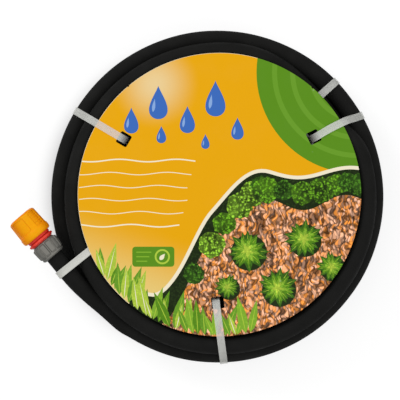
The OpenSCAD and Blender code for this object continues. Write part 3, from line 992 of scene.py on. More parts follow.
@dataclass
class ReleaseCollar:
    """The yellow sleeve that is pulled back to let the tap adaptor go."""

    mouth_r: float = 15.0
    shoulder_r: float = 15.7
    band_r: float = 16.25
    length: float = 27.0
    bore: float = 13.0
    lip_r: float = 10.5
    lip_end: float = 2.9
    land_r: float = 11.37
    land: Spot = (9.2, 11.2)
    ledge: Spot = (16.0, 17.4)
    thumb_depth: float = 0.85
    thumb_half: float = 41.0
    thumb_span: Spot = (2.2, 18.9)
    hollow_depth: float = 0.7
    hollow_half: float = 17.0
    hollow_span: Spot = (3.4, 18.4)
    rib_height: float = 0.4
    rib_pitch: float = 2.6

    def outline(self) -> Outline:
        """Closed outline of the sleeve's wall, from the mouth's inner edge."""
        m, b, bore, lip = self.mouth_r, self.band_r, self.bore, self.lip_r
        near, far = self.land
        step, back = self.ledge
        return [
            (0.5, lip), (0.0, lip + 0.5), (0.12, m - 3.1), (0.45, m - 2.1), (0.95, m - 1.2), (1.6, m - 0.5),
            (2.3, m - 0.12), (3.1, m), (19.2, self.shoulder_r - 0.1), (19.9, self.shoulder_r),
            (20.5, b - 0.25), (21.2, b), (23.6, b), (25.2, b - 0.25), (26.3, b - 0.8), (26.85, b - 1.5),
            (self.length, b - 2.2), (self.length, bore + 0.3), (self.length - 0.3, bore), (back, bore),
            (back, lip), (step, lip), (step, bore), (far, bore), (far, self.land_r), (near, self.land_r),
            (near, bore), (self.lip_end, bore), (self.lip_end, lip),
        ]

    def shape(self, s: float, r: float, angle: float) -> float:
        """Sinks the thumb panels and the finger hollows into the outside."""
        if r < self.bore + 0.8:
            return r
        begin, end = self.thumb_span
        for middle in (45.0, 225.0):
            inside = bump(abs(around(angle, middle)), -1.0, self.thumb_half, soft=3.5)
            r -= self.thumb_depth * inside * ease((s - begin) / 1.6) * ease((end - s) / 0.9)
        along = bump(s, *self.hollow_span, soft=0.8)
        ribs = 0.5 + 0.5 * math.cos(math.tau * (s - 4.0) / self.rib_pitch)
        for middle in (135.0, 315.0):
            inside = bump(abs(around(angle, middle)), -1.0, self.hollow_half, soft=3.0)
            r -= (self.hollow_depth - self.rib_height * ribs) * inside * along
        return r

    def build(self, dresser: Dresser) -> None:
        """Builds and dresses the sleeve."""
        turned = Turned("collar", Turned.fine(self.outline(), step=0.6), self.shape, segments=216)
        dresser.dress(turned.obj, Finish.COLLAR, "collar", "release_collar")


@dataclass
class ConnectorBody:
    """The red body: socket, neck, flange with ears, and the stem in the hose."""

    barrel_r: float = 10.2
    neck_r: float = 12.7
    flange_r: float = 13.4
    ear: float = 0.6
    flange_s: float = 30.8
    thread_r: float = 11.1
    thread_s: float = 34.9
    thread_pitch: float = 1.4
    thread_end: float = 39.3
    stem_r: float = 6.15
    stem_end: float = 50.0
    barb_s: float = 38.6
    barb_pitch: float = 3.2
    water_r: float = 4.4
    claw_s: float = 8.0
    claw_window: Spot = (5.1, 4.6)
    claw_cut: Spot = (7.6, 11.5)
    threads: int = 3
    barbs: int = 3

    def outline(self) -> Outline:
        """Closed outline of the body's wall, from the mouth's inner edge."""
        n, f, e, stem = self.neck_r, self.flange_s, self.flange_r, self.stem_r
        ring = [
            (0.8, 9.0), (0.8, 9.9), (1.1, self.barrel_r), (26.0, self.barrel_r), (26.0, n - 0.3),
            (26.4, n - 0.05), (27.2, n), (28.6, n - 0.05), (29.2, n - 0.3), (29.5, n - 0.8), (29.9, n - 0.8),
            (f - 0.6, n - 0.3), (f - 0.5, e - 0.7), (f - 0.15, e - 0.25), (f + 0.4, e), (f + 1.4, e),
            (f + 1.95, e - 0.25), (f + 2.2, e - 0.7), (f + 2.15, n - 0.9), (f + 2.3, n - 0.5),
            (f + 2.4, n - 0.25), (f + 2.9, n - 0.25), (f + 3.1, n - 0.5), (f + 3.2, self.thread_r),
        ]
        for k in range(self.threads):
            s = self.thread_s + self.thread_pitch * k
            ring += [(s, self.thread_r), (s + 0.35, self.thread_r - 0.45), (s + 0.7, self.thread_r)]
        ring += [(self.thread_end, self.thread_r - 0.2), (self.thread_end, 9.1), (35.6, 9.1)]
        ring.append((35.6, stem - 0.35))
        for k in range(self.barbs):
            s = self.barb_s + self.barb_pitch * k
            ring += [(s, stem - 0.35), (s, stem - 0.02), (s + 2.6, stem - 0.35)]
        return ring + [
            (self.stem_end - 0.3, stem - 0.35), (self.stem_end, stem - 0.65), (self.stem_end, self.water_r),
            (26.4, self.water_r), (26.4, 6.0), (25.0, 6.0), (25.0, 7.25), (14.0, 7.25), (14.0, 8.75),
            (1.05, 8.75),
        ]

    def shape(self, s: float, r: float, angle: float) -> float:
        """Adds the flange's ears."""
        if r > self.neck_r + 0.1 and s > self.flange_s - 0.4:
            for middle in (0.0, 90.0, 180.0, 270.0):
                r += self.ear * bump(abs(around(angle, middle)), -1.0, 9.0, soft=6.0)
        return r

    def cutter(self) -> Object:
        """Four blocks that cut the claws' windows."""
        wide, long = self.claw_window
        low, high = self.claw_cut
        block = ((0, 1, 2, 3), (7, 6, 5, 4), (0, 4, 5, 1), (1, 5, 6, 2), (2, 6, 7, 3), (3, 7, 4, 0))
        points: Points = []
        faces: list[Face] = []
        for k in range(4):
            faces += [tuple(len(points) + i for i in face) for face in block]
            for s in (self.claw_s - long / 2, self.claw_s + long / 2):
                for r, across in ((low, -wide / 2), (low, wide / 2), (high, wide / 2), (high, -wide / 2)):
                    angle = 45.0 + 90.0 * k + math.degrees(math.atan2(across, r))
                    points.append(STATIONS.wrap(s, math.hypot(r, across), angle))
        return piece("claw_windows", points, faces)

    def build(self, dresser: Dresser) -> None:
        """Builds the body, cuts its four claw windows and dresses it."""
        turned = Turned("body", self.outline(), self.shape, segments=120)
        carve(turned.obj, self.cutter())
        dresser.dress(turned.obj, Finish.CONNECTOR, "roll", "connector_body")


def carve(obj: Object, cutter: Object) -> None:
    """Cuts one mesh out of another, and removes the cutter."""
    for target in (obj, cutter):
        bm = bmesh.new()
        bm.from_mesh(target.data)
        bmesh.ops.recalc_face_normals(bm, faces=bm.faces)
        bm.to_mesh(target.data)
        bm.free()
    modifier = obj.modifiers.new("windows", "BOOLEAN")
    modifier.operation = "DIFFERENCE"
    modifier.solver = "EXACT"
    modifier.object = cutter
    bpy.context.view_layer.update()
    cut = bpy.data.meshes.new_from_object(obj.evaluated_get(bpy.context.evaluated_depsgraph_get()))
    obj.modifiers.clear()
    obj.data = cut
    smooth(cut, CREASE)
    bpy.data.objects.remove(cutter)


@dataclass
class ClampNut:
    """The grey nut that squeezes the grip ring on the hose."""

    front: float = 34.3
    end: float = 52.0
    wide_r: float = 13.1
    end_r: float = 12.5
    bore: float = 11.15
    mouth_r: float = 9.6
    grips: int = 12
    grip_height: float = 1.2
    grip_share: float = 0.7
    grip_span: Spot = (35.6, 48.8)
    grip_soft: float = 1.2
    band: float = 49.0

    def outline(self) -> Outline:
        """Closed outline of the nut's wall, from its front inner edge."""
        w, e, front, end = self.wide_r, self.end_r, self.front, self.end
        return [
            (front, self.bore), (front, w - 1.7), (front + 0.25, w - 1.3), (36.2, w - 0.35), (36.9, w - 0.05),
            (37.8, w), (44.0, (2 * w + e) / 3 - 0.1), (48.6, e - 0.25), (self.band, e - 0.35),
            (49.4, e - 0.1), (49.9, e), (50.6, e - 0.15), (51.3, e - 0.7), (end, e - 1.7),
            (end, self.mouth_r + 0.3), (51.7, self.mouth_r), (50.7, self.mouth_r), (50.7, self.bore),
        ]

    def shape(self, s: float, r: float, angle: float) -> float:
        """Raises the grips."""
        if r < self.bore + 0.9 or s > self.band:
            return r
        turn = 360.0 / self.grips
        off = abs(around(angle % turn * self.grips, 180.0)) / 180.0
        pad = 1.0 - ease((off - self.grip_share) / (1.0 - self.grip_share) * 3.0)
        begin, end = self.grip_span
        raised = self.grip_height * pad * ease((s - begin) / self.grip_soft)
        return r + raised * ease((end - s) / self.grip_soft)

    def build(self, dresser: Dresser) -> None:
        """Builds and dresses the nut."""
        turned = Turned("nut", Turned.fine(self.outline(), step=0.7), self.shape, segments=288)
        dresser.dress(turned.obj, Finish.NUT, "nut", "clamp_nut")


@dataclass
class ReturnSpring:
    """The wire spring that pushes the collar back over the claws."""

    coil_r: float = 11.6
    wire_r: float = 0.55
    turns: float = 4.0
    keep: float = 0.651
    steps: int = 36
    sides: int = 10

    def build(self, dresser: Dresser) -> None:
        """Builds the spring, dresses it and gives it a mesh of its own."""
        begin = STATIONS.ledge_back + self.wire_r + 0.1
        end = STATIONS.neck - self.wire_r - 0.1
        flat = 0.5 / self.turns
        path: Points = []
        for k in range(int(self.turns * self.steps) + 1):
            t = k / (self.turns * self.steps)
            rise = ease(t) * 0.25 + 0.75 * min(1.0, max(0.0, (t - flat) / (1.0 - 2.0 * flat)))
            angle = 360.0 * self.turns * t + 90.0
            path.append(STATIONS.wrap(begin + (end - begin) * rise, self.coil_r, angle))
        points = sweep(path, lambda i, a: self.wire_r, self.sides, STATIONS.axis)
        obj = piece("spring", points, skin(len(path), self.sides), crease=60.0)
        dresser.dress(obj, Finish.SPRING, "roll", "collar_spring")
        tuple(STATIONS.at(STATIONS.neck) * MM)
        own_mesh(obj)


@dataclass
class Connector:
    """The push-on connector at the hose's end."""

    collar: ReleaseCollar = field(default_factory=ReleaseCollar)
    body: ConnectorBody = field(default_factory=ConnectorBody)
    nut: ClampNut = field(default_factory=ClampNut)
    spring: ReturnSpring = field(default_factory=ReturnSpring)

    def build(self, dresser: Dresser) -> None:
        """Builds and dresses all of the connector's pieces."""
        for part in (self.collar, self.body, self.nut, self.spring):
            part.build(dresser)
        for k in range(4):
            dresser.carry_over(f"locking_claw_{k + 1}", Finish.CLAWS)
        dresser.carry_over("flow_restrictor", Finish.RESTRICTOR)
        dresser.carry_over("grip_ring", Finish.GRIP_RING)


# ---------------------------------------------------------------- display card


class Ink(Enum):
    """The card's printing inks and bare faces."""

    YELLOW = "#f4b000"
    CREAM = "#fdf3d6"
    GREEN = "#5f951b"
    FIELD = "#6ea32a"
    DEEP = "#20300f"
    HEDGE = "#41701a"
    LEAF = "#8abb33"
    SPROUT = "#b8d445"
    BLUE = "#3f70c4"
    SKY = "#8fb2e6"
    BARK = "#c88450"
    WHITE = "#f4f1e8"
    BOARD = "#b9ad98"


@dataclass(frozen=True)
class Patch:
    """One printed shape: its outline in millimetres about the card's middle, its ink and fill."""

    outline: Outline
    ink: Ink
    leafy: float = 0.0
    barky: float = 0.0
    fades: float = 0.0


class Artwork:
    """A plain garden picture for the card, drawn with simple shapes."""

    def __init__(self, radius: float, seed: int = 7) -> None:
        """Draws the picture.

        Args:
            radius: The card's radius.
            seed: Start of the random draws.
        """
        self.radius = radius
        self.rng = random.Random(seed)
        self.patches: list[Patch] = []
        self.ground()
        self.hill()
        self.drops()
        self.ripples()
        self.bed()
        self.rosettes()
        self.border_leaves()
        self.emblem()

    def add(self, outline: Outline, ink: Ink, **fill: float) -> None:
        """Adds one printed shape on top of the others, with its outline counter-clockwise."""
        turn = sum(a[0] * b[1] - b[0] * a[1] for a, b in zip(outline, outline[1:] + outline[:1]))
        self.patches.append(Patch(outline if turn > 0 else outline[::-1], ink, **fill))

    @staticmethod
    def disc(x: float, y: float, r: float, sides: int = 40) -> Outline:
        """Outline of a circle."""
        angles = [math.tau * k / sides for k in range(sides)]
        return [(x + r * math.cos(a), y + r * math.sin(a)) for a in angles]

    @staticmethod
    def ribbon(line: Outline, width: float) -> Outline:
        """Outline of a band of one width along a line."""
        left, right = [], []
        for k, (x, y) in enumerate(line):
            ax, ay = line[max(k - 1, 0)]
            bx, by = line[min(k + 1, len(line) - 1)]
            long = math.hypot(bx - ax, by - ay)
            nx, ny = -(by - ay) / long * width / 2, (bx - ax) / long * width / 2
            left.append((x + nx, y + ny))
            right.append((x - nx, y - ny))
        return left + right[::-1]

    @staticmethod
    def leaf(x: float, y: float, turn: float, long: float, wide: float) -> Outline:
        """Outline of a pointed leaf that grows from a point in a direction in degrees."""
        steps = (0.0, 0.15, 0.35, 0.55, 0.75, 0.9, 1.0)
        edge = [(t, math.sin(math.pi * t**0.8) * (1.0 - 0.35 * t)) for t in steps]
        upper = [(t * long, w * wide / 2) for t, w in edge]
        lower = [(t * long, -w * wide / 2) for t, w in edge[-2:0:-1]]
        return placed(upper + lower, x, y, turn)

    @staticmethod
    def teardrop(x: float, y: float, size: float, sides: int = 36) -> Outline:
        """Outline of a water drop with its point up."""
        angles = [math.tau * k / sides for k in range(sides)]
        across = [size * 0.5 * math.sin(a) * math.sin(a / 2) ** 1.6 for a in angles]
        return [(x + w, y + size * 0.62 * math.cos(a)) for w, a in zip(across, angles)]

    def ground(self) -> None:
        """Yellow ground, with a thin pale rim."""
        self.add(self.disc(0, 0, self.radius, 180), Ink.CREAM)
        self.add(self.disc(0, 0, self.radius - 0.25, 180), Ink.YELLOW, fades=1.0)

    def hill(self) -> None:
        """A green field with curved rows, at the upper right."""
        x, y, reach, row_width = 138, 122, 101, 5.0
        self.add(self.disc(x, y, reach, 90), Ink.GREEN)
        for r in (83, 65, 47, 29):
            row = placed([polar(r, a) for a in range(150, 300, 5)], x, y)
            self.add(self.ribbon(row, row_width), Ink.FIELD)

    def drops(self) -> None:
        """Blue drops that fall in a slanting line, each with a pale gleam."""
        big = ((-88, 74, 21), (-61, 92, 27), (-32, 75, 22), (-4, 96, 29), (18, 66, 18))
        small = ((-58, 60, 14), (-14, 53, 12))
        for x, y, size in big + small:
            self.add(self.teardrop(x, y, size), Ink.BLUE)
            self.add(self.leaf(x - size * 0.2, y - size * 0.36, 82, size * 0.5, size * 0.14), Ink.SKY)

    def ripples(self) -> None:
        """Fine cream ripples across the left half, the first and the last one bolder."""
        rows = 6
        for k in range(rows):
            y, far = 34 - 13 * k, -22 - 3 * k
            line = [(x, y + 1.3 * math.sin(x * 0.11 + k)) for x in range(-140, far, 4)]
            self.add(self.ribbon(line, 1.3 if k in (0, rows - 1) else 0.8), Ink.CREAM)

    def bank(self, x: float) -> float:
        """Height of the planted bed's edge."""
        rise, fall = 56.0 * ease((x + 45.0) / 95.0), 70.0 * ease((-x - 8.0) / 60.0)
        return -34.0 + rise - fall + 5.0 * math.sin(x * 0.06)

    def bed(self) -> None:
        """Planted bed with bark, a hedge behind it and a cream edge."""
        left, right, foot, sides, rough = -90, 146, -150, 26, 1.2
        xs = range(left, right, 4)
        corners = [(right - 2, foot), (left, foot)]
        edge = [(x, self.bank(x)) for x in xs]
        self.add([*edge, *corners], Ink.DEEP, leafy=0.5)
        inner = [(x, self.bank(x) - 30.0 - 3.0 * math.sin(x * 0.09)) for x in xs]
        self.add([*inner, *corners], Ink.BARK, barky=1.0)
        for x in range(-38, right, 15):
            r = 9.0 + 4.5 * self.rng.random()
            rise = (self.bank(x + 1.0) - self.bank(x - 1.0)) / 2.0
            inside = (r + 3.4 + 2.0 * self.rng.random()) / math.hypot(1.0, rise)
            cx, cy = x + rise * inside, self.bank(x) - inside
            lobes: Outline = []
            for k in range(sides):
                a = math.tau * k / sides
                wide, high = (r + self.rng.uniform(-rough, rough) for _ in range(2))
                lobes.append((cx + wide * math.cos(a), cy + high * math.sin(a)))
            self.add(lobes, self.rng.choice([Ink.HEDGE, Ink.GREEN, Ink.LEAF]), leafy=1.0)
        self.add(self.ribbon(edge, 3.6), Ink.CREAM)

    def rosettes(self) -> None:
        """Low leafy plants in the bark, each of four ranks of leaves over its own shadow."""
        ranks = ((13, 1.0, Ink.HEDGE), (11, 0.8, Ink.GREEN), (8, 0.58, Ink.LEAF), (5, 0.36, Ink.SPROUT))
        for x, y, r in ((28, -56, 21), (84, -44, 19), (58, -93, 20), (112, -72, 15), (8, -92, 13)):
            self.add(self.disc(x + 1.5, y - 2.0, r * 0.86, 30), Ink.DEEP)
            for rank, (count, reach, ink) in enumerate(ranks):
                for k in range(count):
                    turn = 360.0 * k / count + rank * 17 + self.rng.uniform(-7, 7)
                    long = r * reach * self.rng.uniform(0.88, 1.08)
                    self.add(self.leaf(x, y, turn, long, long * 0.5), ink, leafy=0.35)
                    self.add(self.leaf(x, y, turn, long * 0.85, long * 0.05), Ink.SPROUT)

    def border_leaves(self) -> None:
        """Broad young leaves that grow in from the lower rim."""
        count, first, spread = 34, 214.0, 68.0
        for k in range(count):
            azimuth = first + spread * k / (count - 1) + self.rng.uniform(-1.0, 1.0)
            x, y = polar(self.radius - 0.5, azimuth)
            long = self.rng.uniform(22, 40)
            turn = 90.0 + self.rng.uniform(-26, 26)
            ink = self.rng.choice([Ink.LEAF, Ink.SPROUT, Ink.GREEN, Ink.SPROUT, Ink.FIELD])
            self.add(self.leaf(x, y, turn, long, long * 0.3), ink, leafy=0.15)
            self.add(self.leaf(x, y, turn, long * 0.9, 0.9), Ink.CREAM if ink is Ink.SPROUT else Ink.SPROUT)

    def emblem(self) -> None:
        """A small green tag with a ringed leaf and three plain bars."""
        x, y = -66.0, -62.0
        self.add(placed(rounded(42.0, 20.0, 3.0), x, y), Ink.GREEN)
        for r, ink in ((7.6, Ink.SPROUT), (5.8, Ink.GREEN)):
            self.add(self.disc(x + 9, y, r), ink)
        self.add(self.leaf(x + 6.4, y - 3.2, 50, 8.0, 5.0), Ink.CREAM)
        for k in range(3):
            high = y + 4.5 - 4.5 * k
            self.add(self.ribbon([(x - 17, high), (x - 2 - 2 * k, high)], 1.1), Ink.LEAF)


@dataclass
class DisplayCard:
    """The round printed card on the roll's front."""

    middle: Spot = (2.0, 2.0)
    radius: float = 141.5
    thickness: float = 0.6
    bottom: float = 77.4
    slot: Spot = (12.0, 12.6)
    slot_corner: float = 1.5
    slots: tuple[tuple[float, float, float], ...] = (
        (149.9, 31.2, 149.6),
        (31.4, 31.2, 26.0),
        (269.1, 33.5, 277.4),
    )
    nicks: Spot = (49.0, 130.0)
    nick_r: float = 1.2
    grid: int = 9
    grid_shift: Spot = (0.13, 0.29)

    def curl(self, x: float, y: float) -> float:
        """How far the card lifts or sags from flat, in millimetres."""
        r, a = math.hypot(x, y) / self.radius, math.atan2(y, x)
        wave = 0.22 * math.sin(3 * a + 0.6) + 0.13 * math.sin(5 * a + 2.0)
        return r * r * wave - 0.15 * r**6

    def holes(self) -> list[Outline]:
        """Outlines of the tie slots and the rim's nicks, about the card's middle."""
        shape = rounded(*self.slot, self.slot_corner)
        slots = [placed(shape, *polar(self.radius - inset, at), turn) for at, inset, turn in self.slots]
        return slots + [Artwork.disc(*polar(self.radius + 0.4, at), self.nick_r, 16) for at in self.nicks]

    def build(self, dresser: Dresser) -> None:
        """Builds the card as one closed mesh, with its inks on its faces, and dresses it."""
        art = Artwork(self.radius).patches
        holes = self.holes()
        outlines = [p.outline for p in art] + holes
        flat: list[Vector] = []
        shapes: list[list[int]] = []
        for outline in outlines:
            shapes.append(list(range(len(flat), len(flat) + len(outline))))
            flat += [Vector(p) for p in outline]
        reach = int(self.radius // self.grid) * self.grid
        for x in range(-reach, reach + 1, self.grid):
            for y in range(-reach, reach + 1, self.grid):
                if math.hypot(x, y) < self.radius - 3:
                    flat.append(Vector((x + self.grid_shift[0], y + self.grid_shift[1])))
        verts, _, faces, _, _, owners = delaunay_2d_cdt(flat, [], shapes, 1, 1e-4, True)
        kept, inks = [], []
        for face, owner in zip(faces, owners):
            if 0 in owner and max(owner) < len(art):
                kept.append(tuple(face))
                inks.append(art[max(owner)])
        self.solid(dresser, verts, kept, inks)

    def solid(self, dresser: Dresser, verts: Points, kept: list[Face], inks: list[Patch]) -> None:
        """Gives the printed face its thickness, its white edge and its grey back.

        Args:
            dresser: Gives the finish.
            verts: Points of the printed face.
            kept: Its faces.
            inks: The printed shape that each face belongs to.
        """
        count = len(verts)
        height = [self.bottom + self.curl(v.x, v.y) for v in verts]
        spot = [PILE.world(Vector((v.x + self.middle[0], v.y + self.middle[1], 0))) for v in verts]
        points = [s + Vector((0, 0, h + up)) for up in (self.thickness, 0) for s, h in zip(spot, height)]
        sides = dict.fromkeys(pair for face in kept for pair in zip(face, face[1:] + face[:1]))
        rim = [(a, b) for a, b in sides if (b, a) not in sides]
        edge, board = Patch([], Ink.WHITE), Patch([], Ink.BOARD)
        faces = [*kept, *[tuple(count + k for k in reversed(face)) for face in kept]]
        faces += [(b, a, count + a, count + b) for a, b in rim]
        looks = [*inks, *[board] * len(kept), *[edge] * len(rim)]
        obj = piece("card", points, faces, crease=40.0)
        mesh = obj.data
        ink, fill = (mesh.attributes.new(name, "FLOAT_COLOR", "CORNER") for name in ("ink", "fill"))
        tones = {look: tone(look.value) for look in Ink}
        for poly, look in zip(mesh.polygons, looks):
            for corner in poly.loop_indices:
                ink.data[corner].color = tones[look.ink]
                fill.data[corner].color = (look.leafy, look.barky, look.fades, 1.0)
        used = {k for poly in mesh.polygons for k in poly.vertices}
        if len(used) < len(mesh.vertices):
            bm = bmesh.new()
            bm.from_mesh(mesh)
            bmesh.ops.delete(bm, geom=[v for v in bm.verts if not v.link_faces], context="VERTS")
            bm.to_mesh(mesh)
            bm.free()
        dresser.dress(obj, Finish.CARD, "roll", "display_card")


# ---------------------------------------------------------------- ties


@dataclass
class Tie:
    """A nylon tie that goes round the pile, or round the card's rim and the pile."""

    name: str
    azimuth: float
    offset: float
    slot_inset: Spot | None = None
    extra: Outline = field(default_factory=list)
    drift: Outline = field(default_factory=list)
    finish: Finish = Finish.TIES
    width: float = 7.6
    thickness: float = 1.0
    gap: float = 0.25
    end_clear: float = 15.0
    bend_step: float = 7.0
    flat_step: float = 3.5
    card: DisplayCard = field(default_factory=DisplayCard)

    def along(self, r: float) -> float:
        """How far along the tie a circle about the roll's axis is crossed."""
        return math.sqrt(r * r - self.offset * self.offset)

    def lean(self, r: float) -> float:
        """Angle from the tie's own direction to where it crosses a circle about the roll's axis."""
        return math.degrees(math.asin(self.offset / r))

    def crossing(self, p: Vector, way: Vector) -> Outline:
        """Middles of the round rods that stand for one turn of the hose under the strap.

        Args:
            p: Middle of the hose where the strap crosses it, in the roll's frame.
            way: Direction of the hose there.

        Returns:
            Four points, as (along, up): a slanting hose is wider than a square cut.
        """
        c, s = polar(1.0, self.azimuth)
        across = abs(way.y * c - way.x * s)
        slope = abs(way.x * c + way.y * s) / across
        wide = PILE.hose_r * (math.hypot(1.0, slope) - 1.0) + self.width / 2 * slope
        rise = self.width / 2 * abs(way.z) / across
        x = self.along(p.xy.length)
        return [(x + i * wide, p.z + j * rise) for i in (-1, 1) for j in (-1, 1)]

    def pegs(self) -> Outline:
        """Middles of the round things that the strap goes round, as (along, up)."""
        hose = PILE.hose_r
        inner = PILE.radius(PILE.layers * PILE.columns - 1, 0.0)
        foot = Vector((*polar(inner, 0.0), PILE.first_z))
        way = Vector((*polar(1.0, self.azimuth + 90.0 - self.lean(inner)), 0.0))
        out = self.crossing(foot, way)[:2]
        turns = self.azimuth
        while turns <= PILE.end + 360.0:
            guess = turns - self.lean(PILE.outer_r)
            if PILE.start < guess < PILE.end - self.end_clear:
                at = turns - self.lean(PILE.point(guess).xy.length)
                out += self.crossing(PILE.point(at), PILE.point(at + 0.5) - PILE.point(at - 0.5))
            turns += 360.0
        if self.slot_inset is not None:
            card = self.card
            peg_z = card.bottom + card.thickness - hose
            azimuth, inset = self.slot_inset
            sx, sy = polar(card.radius - inset, azimuth)
            c, s = polar(1.0, self.azimuth)
            centre = (sx + card.middle[0]) * c + (sy + card.middle[1]) * s
            start = centre - card.slot[0] / 2 + self.thickness + hose + 2 * self.gap
            out += [(start, peg_z), (card.radius + card.middle[0], peg_z)]
        return self.hull(out + self.extra)

    @staticmethod
    def hull(points: Outline) -> Outline:
        """Outermost points, counter-clockwise."""
        pts = sorted(set((round(x, 4), round(y, 4)) for x, y in points))

        def straight(a: Spot, b: Spot, c: Spot) -> bool:
            """Whether three points lie in line or turn clockwise."""
            return (b[0] - a[0]) * (c[1] - a[1]) - (b[1] - a[1]) * (c[0] - a[0]) <= 1e-6

        def half(row: Outline) -> Outline:
            """One side of the hull, without its last point."""
            out: Outline = []
            for p in row:
                while len(out) > 1 and straight(out[-2], out[-1], p):
                    out.pop()
                out.append(p)
            return out[:-1]

        return half(pts) + half(pts[::-1])

    def belt(self, pegs: Outline) -> list[tuple[float, float, float, float]]:
        """The strap's middle line round its pegs: (along, up) with its outward direction."""
        r = PILE.hose_r + self.gap + self.thickness / 2
        loop: list[tuple[float, float, float, float]] = []
        count = len(pegs)
        for i, (x, y) in enumerate(pegs):
            bx, by = pegs[i - 1]
            nx, ny = pegs[(i + 1) % count]
            a = math.degrees(math.atan2(y - by, x - bx)) - 90.0
            b = math.degrees(math.atan2(ny - y, nx - x)) - 90.0
            while b < a - 1e-6:
                b += 360.0
            parts = max(1, math.ceil((b - a) / self.bend_step))
            for k in range(parts + 1):
                u, v = polar(1.0, a + (b - a) * k / parts)
                loop.append((x + r * u, y + r * v, u, v))
            u, v = polar(1.0, b)
            long = math.hypot(nx - x, ny - y)
            steps = max(1, round(long / self.flat_step))
            for k in range(1, steps):
                t = k / steps
                loop.append((x + (nx - x) * t + r * u, y + (ny - y) * t + r * v, u, v))
        return loop

    def spot(self, x: float, across: float, up: float) -> Vector:
        """Point of the row frame from the tie's own frame."""
        c, s = polar(1.0, self.azimuth)
        y = across - self.offset + (table(x, self.drift) if self.drift else 0.0)
        return PILE.world(Vector((x * c - y * s, x * s + y * c, up)))

    def section(self) -> Outline:
        """Section of the strap: across and outwards, with raised rims along both edges."""
        w, t = self.width / 2, self.thickness / 2
        half = [
            (w - 0.25, -t), (w, -t + 0.25), (w, t - 0.3), (w - 0.15, t - 0.07), (w - 0.4, t), (w - 1.0, t),
            (w - 1.3, t - 0.18),
        ]
        return [*half, *[(-a, b) for a, b in reversed(half)]]

    def build(self, dresser: Dresser) -> None:
        """Builds the strap with its head and cut tail, and dresses them as one piece."""
        pegs = self.pegs()
        loop, section = self.belt(pegs), self.section()
        points: Points = []
        for x, y, u, v in loop:
            points += [self.spot(x + u * out, across, y + v * out) for across, out in section]
        faces = skin(len(loop), len(section), True)
        self.head(pegs, points, faces)
        dresser.dress(piece(self.name, points, faces, crease=40.0), self.finish, "roll", self.name)

    def head(self, pegs: Outline, points: Points, faces: list[Face]) -> None:
        """Adds the locking head and the cut tail, on the roll's inner side.

        Args:
            pegs: What the strap goes round; the head sits on the side that falls most.
            points: The strap's points, which grow.
            faces: The strap's faces, which grow.
        """
        nexts = pegs[1:] + pegs[:1]
        falls = [a[1] - b[1] for a, b in zip(pegs, nexts)]
        side = falls.index(max(falls))
        (ax, ay), (bx, by) = pegs[side], nexts[side]
        mx, my = (ax + bx) / 2, (ay + by) / 2
        long = math.hypot(bx - ax, by - ay)
        tx, ty = (bx - ax) / long, (by - ay) / long
        under = PILE.hose_r + self.gap
        over, half_w = under + self.thickness, self.width / 2
        blocks = (
            (4.5, half_w + 0.6, under + self.thickness * 0.5, over + 4.5, 0.7),
            (2.2, half_w + 0.3, over + 4.4, over + 5.0, 0.25),
            (0.6, half_w - 0.3, over + 4.9, over + 6.9, 0.15),
        )
        for half_l, half_a, low, high, edge in blocks:
            rows = ((low, edge), (low + edge, 0.0), (high - edge, 0.0), (high, edge))
            faces += [tuple(len(points) + i for i in f) for f in skin(len(rows), 8)]
            for out, inset in rows:
                la, wa = half_l - inset, half_a - inset
                corner = min(edge, la * 0.4)
                lc, wc = la - corner, wa - corner
                half = ((lc, wa), (-lc, wa), (-la, wc), (-la, -wc))
                ring = half + tuple((-t, -across) for t, across in half)
                for t, across in ring:
                    points.append(self.spot(mx + tx * t + ty * out, across, my + ty * t - tx * out))


@dataclass
class Ties:
    """The card's three ties and the roll's two."""

    def build(self, dresser: Dresser, run: HoseRun) -> None:
        """Builds all five ties.

        Args:
            dresser: Gives the finish.
            run: The hose, whose free stretch the lower tie also goes round.
        """
        _, out, down = run.descent[1]
        lower = Tie("hose_tie_lower", 218.6, 37.4, finish=Finish.WHITE_TIE)
        outward = lower.along(PILE.outer_r + out) + lower.gap
        lower.extra = [(outward, PILE.top_z - down * PILE.pitch)]
        bend = [(60.0, 0.0), (106.0, 0.6), (136.0, 2.3), (146.0, 2.3), (167.0, 0.0)]
        for tie in (
            Tie("card_tie_left", 149.6, 2.1, (149.9, 31.2)),
            Tie("card_tie_right", 26.0, -9.6, (31.4, 31.2), drift=bend),
            Tie("card_tie_bottom", 277.4, 15.0, (269.1, 33.5)),
            Tie("hose_tie_upper", 42.0, -6.3),
            lower,
        ):
            tie.build(dresser)


# ---------------------------------------------------------------- studio


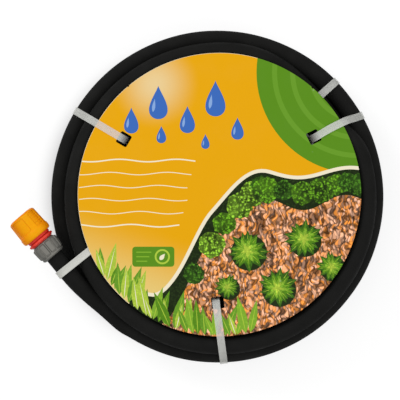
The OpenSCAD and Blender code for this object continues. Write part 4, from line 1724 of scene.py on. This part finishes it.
@dataclass
class Studio:
    """Camera, pale floor and plain soft light."""

    view_middle: Spot = (2.98, -3.4)
    view_width: float = 400.0
    distance: float = 6000.0
    sensor: float = 36.0
    floor_half: float = 3.0

    def camera(self) -> None:
        """Places the camera straight above the roll, far off, with a long lens."""
        data = bpy.data.cameras.new("camera")
        data.sensor_width = self.sensor
        data.lens = self.sensor * self.distance / self.view_width
        data.clip_end = 60.0
        camera = bpy.data.objects.new("camera", data)
        height = PILE.top_z + self.distance
        camera.location = Vector((*self.view_middle, height)) * MM
        bpy.context.scene.collection.objects.link(camera)
        bpy.context.scene.camera = camera
        bpy.context.scene.view_settings.view_transform = "Standard"

    def lamp(self, name: str, place: tuple[float, float, float], power: float, size: float) -> None:
        """Adds a soft square lamp that looks at the roll."""
        data = bpy.data.lights.new(name, "AREA")
        data.energy = power
        data.size = size
        lamp = bpy.data.objects.new(name, data)
        lamp.location = place
        lamp.rotation_euler = (Vector((0, 0, 0.05)) - Vector(place)).to_track_quat("-Z", "Y").to_euler()
        bpy.context.scene.collection.objects.link(lamp)

    def floor(self) -> None:
        """Lays the pale floor, which the camera sees as white apart from shadows and from painted shade under
        and close round the roll.
        """
        h = self.floor_half / MM
        corners = [Vector((-h, -h, 0)), Vector((h, -h, 0)), Vector((h, h, 0)), Vector((-h, h, 0))]
        floor = piece("floor", corners, [(0, 1, 2, 3)])
        p = Paint("pale_floor", Base_Color=(0.36, 0.36, 0.36, 1.0))
        p.feed("Roughness", p.wander(3.0, 2.0, 0.85, 0.95))
        path = p.add("LightPath")
        seen = p.math("MAXIMUM", path.outputs["Is Camera Ray"], path.outputs["Is Glossy Ray"])
        seen = p.math("MAXIMUM", seen, path.outputs["Is Transmission Ray"])
        # Painted shade: the glow fades out towards the roll and is off under it, so the floor there looks
        # dark.
        clear = p.span(p.distance((0, 0, 0)), 0.12, 0.165)
        glow = p.add("Emission", {"Color": (1, 1, 1, 1), "Strength": p.product(seen, clear, 0.76)})
        both = p.add("AddShader", {0: p.shader.outputs[0], 1: glow.outputs[0]})
        p.tree.links.new(both.outputs[0], p.tree.nodes["Material Output"].inputs["Surface"])
        floor.data.materials.append(p.material)

    def light(self) -> None:
        """Adds the world's light and the lamps."""
        world = bpy.data.worlds.new("studio")
        world.use_nodes = True
        t = Tree(world.node_tree)
        seen = t.add("LightPath").outputs["Is Camera Ray"]
        sky = t.tree.nodes["Background"].inputs
        t.plug((1, 1, 1, 1), sky["Color"])
        t.plug(t.span(seen, 0.0, 1.0, 0.58, 1.0), sky["Strength"])
        bpy.context.scene.world = world
        self.lamp("key", (-1.35, 1.2, 1.45), power=19.0, size=1.1)
        self.lamp("fill", (1.5, -0.9, 1.3), power=9.0, size=1.1)

    def build(self) -> None:
        """Lays the floor and lights it."""
        self.floor()
        self.light()


def main() -> None:
    """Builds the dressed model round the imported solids."""
    logging.basicConfig(level=logging.INFO, format="%(name)s: %(message)s")
    studio = Studio()
    studio.camera()
    dresser = Dresser()
    run = HoseRun()
    hose, route = run.build()
    dresser.dress(hose, Finish.HOSE, "roll", "hose_coil", "hose_tail", "hose_inlet_end", "hose_stop_end")
    dresser.carry_over("end_plug", Finish.PLUG)
    dresser.carry_over("end_clip", Finish.CLIP)
    tuple(STATIONS.at(STATIONS.length) * MM)
    Connector().build(dresser)
    DisplayCard().build(dresser)
    Ties().build(dresser, run)
    studio.build()


if __name__ == "__main__":
    main()
